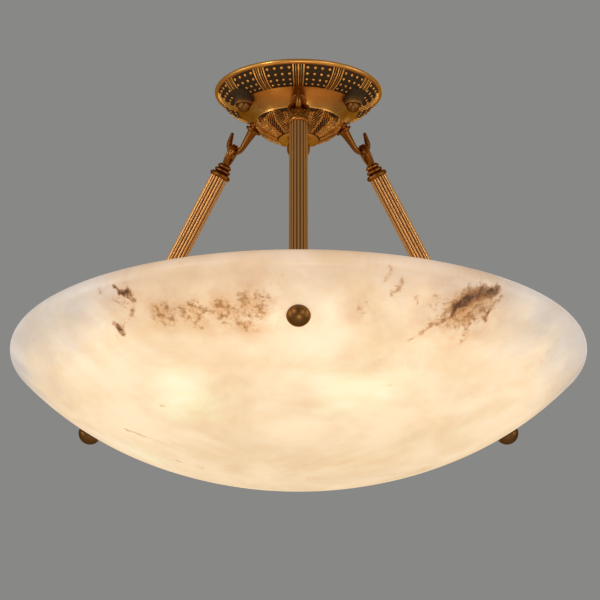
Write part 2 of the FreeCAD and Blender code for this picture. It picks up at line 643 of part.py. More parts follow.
def make_foot():
    """Shoe from the arm's lower end to a round pad on the stud axis."""
    out = stud_outward()
    inner = point(wall_point(BOWL_WALL))
    collar = Part.makeCylinder(FOOT_COLLAR, FOOT_COLLAR_HEIGHT, V(0, 0, TUBE_END))
    collar = collar.makeFillet(FOOT_COLLAR_FILLET, collar.Edges[:1])
    spigot = Part.makeCylinder(ARM_BORE - RUNNING, SPIGOT_LENGTH, V(0, 0, TUBE_END - SPIGOT_LENGTH))
    shoe_start = TUBE_END + FOOT_COLLAR_HEIGHT
    top = on_arm(Part.Wire(Part.Circle(V(0, 0, shoe_start), UP, FOOT_COLLAR * FOOT_SHOE_SHARE).toShape()))
    pad_top = inner - out * (INNER_WASHER + FOOT_PAD_HEIGHT)
    bottom = Part.Wire(Part.Circle(ORIGIN, UP, FOOT_PAD_RADIUS * FOOT_SHOE_SHARE).toShape())
    tilt = math.degrees(math.atan2(out.x, out.z))
    bottom.Placement = FreeCAD.Placement(pad_top, FreeCAD.Rotation(V(0, 1, 0), tilt))
    shoe = Part.makeLoft([top, bottom], True, True)
    pad = rod(FOOT_PAD_RADIUS, pad_top, out, FOOT_PAD_HEIGHT)
    foot = on_arm(collar.fuse(spigot)).fuse(shoe).fuse(pad)
    pocket = rod(STUD_RADIUS, inner - out * (INNER_WASHER + STUD_IN_FOOT), out, STUD_IN_FOOT)
    return foot.cut(pocket)


def make_stud():
    start = point(wall_point(BOWL_WALL + INNER_WASHER + STUD_IN_FOOT))
    length = STUD_IN_FOOT + INNER_WASHER + BOWL_WALL + OUTER_WASHER + STUD_IN_FINIAL
    return rod(STUD_RADIUS, start, stud_outward(), length)


def make_washer(bowl, depth_in, radius, thick, way):
    """Washer on the stud, shaped to the face of the bowl that it lies on."""
    face = point(wall_point(depth_in))
    start = face - way * (BOWL_WALL / 4)
    washer = rod(radius, start, way, BOWL_WALL / 4 + thick)
    return washer.cut(rod(STUD_RADIUS, start, way, BOWL_WALL)).cut(bowl)


def make_finial():
    """Domed nut on the outer end of the stud; its ball is centred on the wall."""
    out = stud_outward()
    face = point(wall_point(0))
    start = face + out * (OUTER_WASHER + SEAT_GAP)
    ball = Part.makeSphere(FINIAL_RADIUS, face)
    dome = ball.common(rod(2 * FINIAL_RADIUS, start, out, 2 * FINIAL_RADIUS))
    return dome.cut(rod(STUD_RADIUS + RUNNING, start, out, STUD_IN_FINIAL + SEAT_GAP))


# ---- stem and lamps ---------------------------------------------------------------
CLUSTER_TOP = -LIP_DROP - CLUSTER_DEPTH_IN_BOWL
CLUSTER_BOTTOM = CLUSTER_TOP - CLUSTER_HEIGHT
BALL_BOTTOM = -BALL_CENTRE_DEPTH - math.sqrt(BALL_RADIUS ** 2 - STEM_NECK_RADIUS ** 2)
RING_TOP = BALL_BOTTOM - STEM_NECK_HEIGHT / 2


def make_nipple():
    """Threaded tube that carries the stem and the lamp wires."""
    bottom = CLUSTER_BOTTOM - CLUSTER_DOME - CLUSTER_NUT_HEIGHT / 2
    tube = ring(NIPPLE_RADIUS, NIPPLE_BORE, -NIPPLE_TOP - bottom)
    tube.translate(V(0, 0, bottom))
    return tube


def make_locknut():
    nut = hex_nut(LOCKNUT_ACROSS, LOCKNUT_THICK, NIPPLE_RADIUS)
    nut.translate(V(0, 0, -PAN_DEPTH))
    return nut


def make_ball():
    """Ball under the boss, flat where it presses on it."""
    ball = Part.makeSphere(BALL_RADIUS, V(0, 0, -BALL_CENTRE_DEPTH))
    room = Part.makeCylinder(2 * BALL_RADIUS, BOSS_BOTTOM[1] - BALL_BOTTOM, V(0, 0, BALL_BOTTOM))
    return ball.common(room).cut(rod(NIPPLE_RADIUS, V(0, 0, 0), -UP, LIP_DROP))


def make_stem_ring():
    """Small moulding between the ball and the stem tube."""
    neck = STEM_NECK_RADIUS
    low = RING_TOP - STEM_RING_HEIGHT
    a, b, c = rounded_collar(STEM_RING_RADIUS, STEM_RING_HEIGHT, low)
    corners = [c, (neck, RING_TOP), (neck, BALL_BOTTOM), (NIPPLE_RADIUS, BALL_BOTTOM)]
    corners += [(NIPPLE_RADIUS, low), a]
    return spin([arc(a, b, c)] + [line(*pair) for pair in zip(corners, corners[1:])])


def make_stem_tube():
    top = RING_TOP - STEM_RING_HEIGHT
    tube = ring(STEM_TUBE_RADIUS, NIPPLE_RADIUS + RUNNING, top - CLUSTER_TOP)
    tube.translate(V(0, 0, CLUSTER_TOP))
    return tube


def lamp_axis():
    """Point on the object's axis and the direction of a lamp drawn in the X-Z plane."""
    a = math.radians(LAMP_DROP)
    way = V(math.cos(a), 0, -math.sin(a))
    middle = (CLUSTER_TOP + CLUSTER_BOTTOM) / 2
    return V(0, 0, middle + CLUSTER_RADIUS * math.tan(a)), way


def holder_start():
    centre, way = lamp_axis()
    return centre + way * ((CLUSTER_RADIUS - HOLDER_IN_CLUSTER) / math.cos(math.radians(LAMP_DROP)))


def make_cluster():
    """Hollow drum that the lamp holders screw into."""
    drum = Part.makeCylinder(CLUSTER_RADIUS, CLUSTER_HEIGHT, V(0, 0, CLUSTER_BOTTOM))
    top_edge = [e for e in drum.Edges if e.isClosed() and e.CenterOfMass.z > CLUSTER_TOP - CLUSTER_FILLET]
    drum = drum.makeFillet(CLUSTER_FILLET, top_edge)
    room = Part.makeCylinder(CLUSTER_RADIUS - CLUSTER_WALL, CLUSTER_HEIGHT - CLUSTER_WALL,
                             V(0, 0, CLUSTER_BOTTOM))
    cluster = drum.cut(room).cut(rod(NIPPLE_RADIUS + RUNNING, V(0, 0, 0), -UP, 2 * LIP_DROP))
    hole = rod(HOLDER_RADIUS, holder_start(), lamp_axis()[1], HOLDER_LENGTH)
    for angle in lamp_angles():
        cluster = cluster.cut(turned(hole, angle))
    return cluster


def make_cluster_lid():
    """Dished lid that closes the drum from below."""
    z = CLUSTER_BOTTOM
    deep = z - CLUSTER_DOME
    hole = NIPPLE_RADIUS + RUNNING
    flat = CLUSTER_LID_FLAT
    corners = [(CLUSTER_RADIUS, z), (hole, z), (hole, deep), (flat, deep)]
    outside = bulged(corners[-1], corners[0], -CLUSTER_LID_BULGE)
    return spin([line(*pair) for pair in zip(corners, corners[1:])] + [outside])


def make_cluster_nut():
    """Knob that closes the lower end of the stem."""
    top = CLUSTER_BOTTOM - CLUSTER_DOME
    low = top - CLUSTER_NUT_HEIGHT
    rim, pole = (CLUSTER_NUT_RADIUS, top - CLUSTER_NUT_RIM), (POLE_FLAT, low)
    corners = [pole, (0, low), (0, top), (CLUSTER_NUT_RADIUS, top), rim]
    sides = [line(*pair) for pair in zip(corners, corners[1:])]
    knob = spin(sides + [bulged(rim, pole, CLUSTER_NUT_BULGE)])
    return knob.cut(rod(NIPPLE_RADIUS, V(0, 0, top), -UP, CLUSTER_NUT_HEIGHT / 2))


def lamp_angles():
    return [LAMP_FIRST + 360.0 / LAMP_COUNT * i for i in range(LAMP_COUNT)]


def make_holder():
    """Lamp holder with its threaded pocket open outwards."""
    body = Part.makeCylinder(HOLDER_RADIUS, HOLDER_LENGTH)
    pocket = Part.makeCylinder(LAMP_CAP_RADIUS + RUNNING, HOLDER_LENGTH, V(0, 0, HOLDER_FLOOR))
    return placed(body.cut(pocket), holder_start(), lamp_axis()[1])


def lamp_base():
    """Where the lamp's cap starts in its holder."""
    return holder_start() + lamp_axis()[1] * (HOLDER_FLOOR + SEAT_GAP)


def make_lamp_cap():
    shell = Part.makeCylinder(LAMP_CAP_RADIUS, LAMP_CAP_LENGTH, V(0, 0, LAMP_CONTACT))
    contact = Part.makeCone(LAMP_CAP_RADIUS / 3, LAMP_CAP_RADIUS, LAMP_CONTACT)
    return placed(shell.fuse(contact), lamp_base(), lamp_axis()[1])


def glass_outline(inset):
    """Edges from the neck to the tip of the lamp's glass, drawn so far inside its surface."""
    neck_start = LAMP_CAP_LENGTH + LAMP_CONTACT
    neck_end = max(neck_start + LAMP_CONTACT, HOLDER_LENGTH - HOLDER_FLOOR)
    neck = LAMP_CAP_RADIUS - inset
    wide = (LAMP_GLASS_RADIUS - inset, neck_start + LAMP_GLASS_LENGTH * LAMP_WIDEST)
    tip = (POLE_FLAT, neck_start + LAMP_GLASS_LENGTH - inset)
    first, last = (neck, neck_start), (0, tip[1])
    edges = [line(first, (neck, neck_end)), bulged((neck, neck_end), wide, -LAMP_SHOULDER_BULGE),
             bulged(wide, tip, -LAMP_TIP_BULGE), line(tip, last)]
    return edges, first, last


def make_lamp_glass():
    """Candle-shaped glass, closed at its tip and open where the cap seals it."""
    outside, outer_neck, outer_tip = glass_outline(0)
    inside, inner_neck, inner_tip = glass_outline(LAMP_GLASS_WALL)
    ends = [line(outer_neck, inner_neck), line(outer_tip, inner_tip)]
    return placed(spin(outside + inside + ends), lamp_base(), lamp_axis()[1])


# ---- all pieces -------------------------------------------------------------------
def all_pieces():
    bowl = make_bowl()
    pieces = {
        "bowl": bowl,
        "canopy_shell": make_canopy(),
        "canopy_boss": make_boss(),
        "mounting_plate": make_plate(),
        "plate_studs": make_plate_studs(),
        "earth_screw": make_earth_screw(),
        "terminal_block": make_terminal_block(),
        "stem_nipple": make_nipple(),
        "stem_locknut": make_locknut(),
        "stem_ball": make_ball(),
        "stem_ring": make_stem_ring(),
        "stem_tube": make_stem_tube(),
        "cluster_drum": make_cluster(),
        "cluster_lid": make_cluster_lid(),
        "cluster_nut": make_cluster_nut(),
    }
    for name, angle in NUT_ANGLES.items():
        pieces["canopy_nut_" + name] = make_cap_nut(angle)
    pieces.update(hook_pieces())
    pieces.update(arm_pieces(bowl))
    pieces.update(lamp_pieces())
    return pieces


def hook_pieces():
    hook, nut = make_hook(), make_hook_nut()
    pieces = {"hook_" + name: turned(hook, angle) for name, angle in ARM_ANGLES.items()}
    pieces["hook_nuts"] = Part.makeCompound([turned(nut, angle) for angle in ARM_ANGLES.values()])
    return pieces


def arm_pieces(bowl):
    out = stud_outward()
    parts = {"arm_tube": make_arm_tube(), "arm_foot": make_foot(), "finial": make_finial(),
             "foot_stud": make_stud()}
    washers = {
        "inner_washers": make_washer(bowl_at_front(bowl), BOWL_WALL, FOOT_PAD_RADIUS, INNER_WASHER, -out),
        "outer_washers": make_washer(bowl_at_front(bowl), 0, OUTER_WASHER_RADIUS, OUTER_WASHER, out),
    }
    pieces = {}
    for name, angle in ARM_ANGLES.items():
        pieces["arm_eye_cap_" + name] = turned(make_eye_cap(EYE_TURNS[name]), angle)
        for part, shape in parts.items():
            pieces[part + "_" + name] = turned(shape, angle)
    for name, washer in washers.items():
        pieces[name] = Part.makeCompound([turned(washer, angle) for angle in ARM_ANGLES.values()])
    return pieces


def bowl_at_front(bowl):
    """The bowl turned so that one of its stud holes lies in the X-Z plane."""
    return turned(bowl, -ARM_ANGLES["front"])


def lamp_pieces():
    parts = {"lamp_holder": make_holder(), "lamp_cap": make_lamp_cap(), "lamp_glass": make_lamp_glass()}
    pieces = {}
    for number, angle in enumerate(lamp_angles(), 1):
        for part, shape in parts.items():
            pieces["%s_%d" % (part, number)] = turned(shape, angle)
    return pieces


def main():
    os.makedirs("parts", exist_ok=True)
    for name, shape in all_pieces().items():
        shape.exportStep("parts/%s.step" % name)
        print("%-22s solids %d  valid %s  volume %.1f cm3" % (
            name, len(shape.Solids), shape.isValid(), shape.Volume / 1000))


main()
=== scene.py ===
"""Looks of the alabaster bowl pendant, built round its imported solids.

Sizes are in millimetres, as on a workshop drawing, and become metres when a mesh is made.
The origin is the canopy's middle on the ceiling, +Z is up and the front arm points along -Y.
"""

import logging
import math
from dataclasses import dataclass, field
from enum import Enum
from typing import Callable, Sequence

import bmesh
import bpy
from mathutils import Matrix, Vector


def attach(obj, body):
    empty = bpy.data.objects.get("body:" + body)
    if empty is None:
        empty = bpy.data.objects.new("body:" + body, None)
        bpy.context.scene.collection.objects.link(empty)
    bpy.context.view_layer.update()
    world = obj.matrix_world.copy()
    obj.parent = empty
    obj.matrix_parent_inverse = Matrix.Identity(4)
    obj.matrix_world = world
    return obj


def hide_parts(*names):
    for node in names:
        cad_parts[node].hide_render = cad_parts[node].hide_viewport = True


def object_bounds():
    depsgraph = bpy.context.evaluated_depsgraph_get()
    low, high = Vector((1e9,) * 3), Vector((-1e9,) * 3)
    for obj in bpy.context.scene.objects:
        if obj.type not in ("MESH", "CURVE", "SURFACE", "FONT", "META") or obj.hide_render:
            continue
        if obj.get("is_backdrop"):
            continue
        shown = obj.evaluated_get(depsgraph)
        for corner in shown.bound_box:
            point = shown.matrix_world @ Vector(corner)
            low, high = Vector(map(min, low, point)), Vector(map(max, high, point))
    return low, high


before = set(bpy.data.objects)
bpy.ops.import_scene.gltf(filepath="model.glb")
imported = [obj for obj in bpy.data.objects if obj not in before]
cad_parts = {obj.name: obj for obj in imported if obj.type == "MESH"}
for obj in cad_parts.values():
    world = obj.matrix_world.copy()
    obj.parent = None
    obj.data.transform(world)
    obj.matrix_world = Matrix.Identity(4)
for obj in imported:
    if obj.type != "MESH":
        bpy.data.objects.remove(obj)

MM = 0.001
LOG = logging.getLogger("pendant")
RGB = tuple[float, float, float]
Point = tuple[float, float]
RELIEF = "relief"
WELD = 0.002
AXIS = 1e-6


class Body(Enum):
    """Bodies that a piece can ride on; the numbered and sided ones are made by name."""

    CEILING = "ceiling_assembly"
    BOWL = "bowl_assembly"


class Side(Enum):
    """The three arms, with the turn of each in degrees from +X."""

    FRONT = -90.0
    RIGHT = 30.0
    LEFT = 150.0

    @property
    def word(self) -> str:
        """Name of this side inside node names."""
        return self.name.lower()


# ---- node benches -------------------------------------------------------------------
def _operator(operation: str, swapped: bool = False) -> Callable[["Value", "Value | float"], "Value"]:
    """Method for one Python operator.

    Args:
        operation: the Math node's operation.
        swapped: whether the value is the second operand.

    Returns:
        The method, which adds the node and gives its result.
    """
    def method(value: "Value", other: "Value | float") -> "Value":
        """Adds the Math node."""
        operands = (other, value) if swapped else (value, other)
        return value.bench.math(operation, *operands)
    return method


class Value:
    """A socket whose value can be used in Python expressions; each operator adds a Math node."""

    def __init__(self, bench: "Bench", socket: bpy.types.NodeSocket) -> None:
        """Wraps one output socket of a tree."""
        self.bench = bench
        self.socket = socket

    def math(self, operation: str, *others: "Value | float", clamp: bool = False) -> "Value":
        """Adds one Math node.

        Args:
            operation: the node's operation.
            others: further operands, in order.
            clamp: holds the result between 0 and 1.

        Returns:
            The node's result.
        """
        return self.bench.math(operation, self, *others, clamp=clamp)

    __add__ = _operator("ADD")
    __radd__ = _operator("ADD", swapped=True)
    __sub__ = _operator("SUBTRACT")
    __rsub__ = _operator("SUBTRACT", swapped=True)
    __mul__ = _operator("MULTIPLY")
    __rmul__ = _operator("MULTIPLY", swapped=True)
    __pow__ = _operator("POWER")

    def __abs__(self) -> "Value":
        """Size of self without its sign."""
        return self.math("ABSOLUTE")

    def top(self, other: "Value | float") -> "Value":
        """The larger of two values."""
        return self.math("MAXIMUM", other)

    def held(self) -> "Value":
        """Self held between 0 and 1."""
        return self.math("ADD", 0.0, clamp=True)

    def rise(self, low: float, high: float) -> "Value":
        """Smooth step from 0 at low to 1 at high, or down where low is the larger."""
        settings = {"interpolation_type": "SMOOTHSTEP"}
        span = (low, high, 0.0, 1.0) if low <= high else (high, low, 1.0, 0.0)
        return self.bench.add("ShaderNodeMapRange", settings, dict(enumerate((self, *span))))


Feed = Value | float | int | str | Sequence[float] | bpy.types.Material


class Bench:
    """Adds nodes to one tree, for a material, a world or a geometry recipe."""

    def __init__(self, tree: bpy.types.NodeTree) -> None:
        """Works on the given tree."""
        self.tree = tree

    def node(self, kind: str, settings: dict | None = None, feeds: dict[int | str, Feed] | None = None
             ) -> bpy.types.Node:
        """Adds one node.

        Args:
            kind: the node's type.
            settings: its settings, set before its sockets.
            feeds: a value or a link for each socket, by its index or name.

        Returns:
            The node.
        """
        node = self.tree.nodes.new(kind)
        for name, value in (settings or {}).items():
            setattr(node, name, value)
        for key, value in (feeds or {}).items():
            self.feed(node.inputs[key], value)
        return node

    def add(self, kind: str, settings: dict | None = None, feeds: dict[int | str, Feed] | None = None,
            output: int | str = 0) -> Value:
        """Adds one node and gives one of its outputs; the other arguments are those of node()."""
        return Value(self, self.node(kind, settings, feeds).outputs[output])

    def feed(self, socket: bpy.types.NodeSocket, value: Feed) -> None:
        """Links a socket to a value, or sets it to a constant."""
        if isinstance(value, Value):
            self.tree.links.new(value.socket, socket)
        elif socket.type == "RGBA" and len(value) == 3:
            socket.default_value = (*value, 1.0)
        else:
            socket.default_value = value

    def math(self, operation: str, *operands: Feed, clamp: bool = False) -> Value:
        """Adds one Math node, with its operands in order; clamp holds the result between 0 and 1."""
        settings = {"operation": operation, "use_clamp": clamp}
        return self.add("ShaderNodeMath", settings, dict(enumerate(operands)))

    def blend(self, share: Feed, low: Feed, high: Feed) -> Value:
        """Mixes two colours.

        Args:
            share: how much of the second colour.
            low: colour at 0.
            high: colour at 1.

        Returns:
            The mixed colour.
        """
        settings = {"data_type": "RGBA", "blend_type": "MIX", "clamp_factor": True}
        return self.add("ShaderNodeMix", settings, {0: share, 6: low, 7: high}, output=2)

    def vector(self, operation: str, *operands: Feed, output: int | str = 0) -> Value:
        """Adds one Vector Math node.

        Args:
            operation: the node's operation.
            operands: its vectors, in order.
            output: which output is wanted.

        Returns:
            The node's result.
        """
        return self.add("ShaderNodeVectorMath", {"operation": operation}, dict(enumerate(operands)), output)

    def scaled(self, vector: Feed, scale: Feed) -> Value:
        """A vector or colour times a number."""
        return self.add("ShaderNodeVectorMath", {"operation": "SCALE"}, {0: vector, "Scale": scale})

    def place(self) -> Value:
        """Object coordinates."""
        return self.add("ShaderNodeTexCoord", output="Object")

    def parts(self, vector: Value) -> tuple[Value, Value, Value]:
        """The three numbers of a vector."""
        node = self.node("ShaderNodeSeparateXYZ", feeds={0: vector})
        x, y, z = (Value(self, socket) for socket in node.outputs)
        return x, y, z

    def named(self, attribute: str) -> Value:
        """A number stored on the piece's points, inside a material."""
        return self.add("ShaderNodeAttribute", {"attribute_name": attribute}, output="Fac")

    def noise(self, place: Value, scale: float, detail: float = 3.0, rough: float = 0.5, output: str = "Fac",
              twist: float = 0.0) -> Value:
        """Noise over a place.

        Args:
            place: coordinates.
            scale: waves in a metre.
            detail: octaves.
            rough: strength of each finer octave.
            output: "Fac" or "Color".
            twist: distortion.

        Returns:
            The noise.
        """
        feeds = {"Vector": place, "Scale": scale, "Detail": detail, "Roughness": rough, "Distortion": twist}
        return self.add("ShaderNodeTexNoise", {"noise_dimensions": "3D"}, feeds, output)

    def stretched(self, place: Value, scale: RGB, turn: RGB = (0.0, 0.0, 0.0)) -> Value:
        """Coordinates turned and then scaled, for a pattern with a grain."""
        feeds = {"Vector": place, "Rotation": turn, "Scale": scale}
        return self.add("ShaderNodeMapping", {"vector_type": "POINT"}, feeds)

    def bump(self, height: Value, distance: float) -> Value:
        """Surface normal from a height map; the distance is in metres."""
        return self.add("ShaderNodeBump", feeds={"Height": height, "Distance": distance, "Strength": 1.0})


# ---- finishes -----------------------------------------------------------------------
@dataclass(frozen=True)
class Finish:
    """A named finish; each kind draws its own nodes."""

    name: str
    slot: str

    def material(self) -> bpy.types.Material:
        """The finish as a material, made once."""
        label = "finish_" + self.name
        found = bpy.data.materials.get(label)
        if found:
            return found
        material = bpy.data.materials.new(label)
        material.use_nodes = True
        material.node_tree.nodes.clear()
        bench = Bench(material.node_tree)
        surface = self.surface(bench)
        bench.node("ShaderNodeOutputMaterial", feeds={"Surface": surface})
        return material

    def surface(self, bench: Bench) -> Value:
        """Draws the finish and gives its shader."""
        raise NotImplementedError


@dataclass(frozen=True)
class Plain(Finish):
    """A simple finish with a little mottling, for small fittings."""

    colour: RGB = (0.6, 0.6, 0.6)
    metal: float = 0.0
    rough: float = 0.5
    mottle: float = 0.12
    grain: float = 400.0
    bump: float = 0.00003

    def surface(self, bench: Bench) -> Value:
        """Mottled colour and roughness over a fine grain."""
        place = bench.place()
        spots = bench.noise(place, self.grain, 3.0, 0.6)
        cloud = bench.noise(place, self.grain / 9, 4.0, 0.6)
        shade = (1.0 - self.mottle) + self.mottle * (spots + cloud)
        colour = bench.scaled(self.colour, shade)
        return bench.add("ShaderNodeBsdfPrincipled", feeds={
            "Base Color": colour, "Metallic": self.metal,
            "Roughness": (self.rough - 0.08) + 0.16 * cloud,
            "Normal": bench.bump(spots, self.bump)})


@dataclass(frozen=True)
class FloorPaint(Plain):
    """Floor paint that can be seen through from below, for views of the pendant's underside."""

    def surface(self, bench: Bench) -> Value:
        """Paint on the upper face only."""
        under = bench.add("ShaderNodeNewGeometry", output="Backfacing")
        clear = bench.add("ShaderNodeBsdfTransparent")
        return bench.add("ShaderNodeMixShader", feeds={0: under, 1: super().surface(bench), 2: clear})


@dataclass(frozen=True)
class AntiqueBrass(Finish):
    """Antiqued brass: bright where it is rubbed, brown in between, near black in recesses."""

    bright: RGB = (0.84, 0.38, 0.075)
    mid: RGB = (0.42, 0.155, 0.027)
    dark: RGB = (0.012, 0.007, 0.004)
    dust: RGB = (0.045, 0.027, 0.015)
    edge: RGB = (0.95, 0.58, 0.24)
    rough: float = 0.17
    reads_relief: bool = False
    wear: float = 0.5
    grain: float = 900.0
    bump: float = 0.00006

    def surface(self, bench: Bench) -> Value:
        """Patina from the piece's relief, wear from noise, and a fine cast grain."""
        place = bench.place()
        cloud = bench.noise(place, 38.0, 5.0, 0.62, twist=0.4)
        fine = bench.noise(place, self.grain, 3.0, 0.65)
        scratch = bench.noise(bench.stretched(place, (self.grain, self.grain, 120.0)), 1.0, 2.0, 0.6)
        rubbed = (cloud + 0.35 * fine - 0.17).rise(0.78 - 0.5 * self.wear, 1.02 - 0.4 * self.wear)
        colour = bench.blend(rubbed, self.mid, self.bright)
        rough = (self.rough + 0.16) - 0.14 * rubbed + 0.10 * scratch
        metal: Feed = 1.0
        if self.reads_relief:
            relief = bench.named(RELIEF)
            edge = (relief + 0.22 * cloud - 0.11).rise(0.12, 0.62)
            tops = (relief + 0.2 * fine - 0.1).rise(0.62, 0.98)
            colour = bench.blend(edge, bench.blend(fine, self.dark, self.dust), colour)
            colour = bench.blend(tops * 0.55, colour, self.bright)
            rough = rough + 0.30 * (1.0 - edge)
            metal = 0.35 + 0.65 * edge
        return bench.add("ShaderNodeBsdfPrincipled", feeds={
            "Base Color": colour, "Metallic": metal, "Roughness": rough, "Specular Tint": self.edge,
            "Normal": bench.bump(fine * 0.7 + cloud * 0.3, self.bump)})


@dataclass(frozen=True)
class Stroke:
    """One vein: a straight reach that noise makes wander. Points are in millimetres."""

    start: RGB
    end: RGB
    width: float
    strength: float


@dataclass(frozen=True)
class Stain:
    """A cloud of brown grains round a point. Sizes are in millimetres."""

    centre: RGB
    radius: float
    strength: float


# start x, y, z, end x, y, z, width, strength
VEINS: tuple[Stroke, ...] = tuple(Stroke(row[0:3], row[3:6], *row[6:]) for row in (
    (129, -192, -271, 150, -190, -260, 7.5, 1.0), (150, -189, -261, 164, -186, -255, 5.0, 0.9),
    (149, -187, -264, 119, -187, -280, 3.2, 0.75), (119, -187, -280, 93, -181, -294, 2.2, 0.6),
    (145, -186, -267, 136, -158, -290, 2.6, 0.55), (167, -178, -259, 152, -169, -275, 2.2, 0.7),
    (111, -206, -268, 139, -194, -264, 3.0, 0.35), (-151, -197, -255, -148, -194, -259, 2.6, 0.95),
    (-148, -194, -259, -139, -199, -261, 3.4, 1.0), (-142, -203, -254, -138, -197, -263, 2.6, 0.9),
    (-138, -200, -261, -134, -194, -267, 2.2, 0.85), (-135, -194, -267, -138, -180, -276, 1.6, 0.6),
    (-138, -180, -276, -150, -161, -281, 1.5, 0.55), (-150, -165, -279, -144, -161, -285, 3.0, 0.85),
    (-151, -152, -286, -146, -144, -292, 1.8, 0.6), (-164, -187, -254, -162, -182, -260, 1.8, 0.5),
    (-12, -242, -261, -15, -234, -268, 1.6, 0.35), (75, -237, -254, 70, -230, -262, 2.6, 0.5),
    (85, -227, -261, 78, -220, -269, 2.6, 0.6), (95, -212, -271, 96, -206, -275, 1.8, 0.4),
    (-125, -92, -322, -112, -95, -326, 1.5, 0.45), (-149, -26, -324, -113, -28, -337, 1.6, 0.6),
    (68, -142, -321, 78, -137, -321, 1.6, 0.35), (-108, 11, -340, -80, 16, -347, 1.5, 0.5),
    (160, 191, -250, 99, 203, -276, 3.0, 0.7), (99, 203, -276, 71, 182, -300, 1.8, 0.5),
    (-213, 129, -252, -176, 145, -274, 2.4, 0.6), (214, -92, -270, 196, -62, -293, 1.6, 0.35),
    (-67, 232, -262, -32, 217, -282, 2.0, 0.5),
))
# centre x, y, z, radius, strength
STAINS: tuple[Stain, ...] = tuple(Stain(row[0:3], *row[3:]) for row in (
    (141, -187, -269, 42, 1.0), (120, -193, -275, 38, 0.65), (-111, -195, -278, 28, 0.75),
    (-84, -203, -281, 32, 0.85), (-60, -210, -282, 30, 0.8), (-36, -219, -279, 34, 0.8),
    (-42, -205, -290, 24, 0.7), (55, -214, -281, 20, 0.6), (-142, -191, -265, 26, 0.75),
    (66, -174, -305, 34, 0.35), (-60, -172, -308, 44, 0.25), (97, 204, -276, 36, 0.6),
    (-194, 140, -264, 30, 0.5),
))


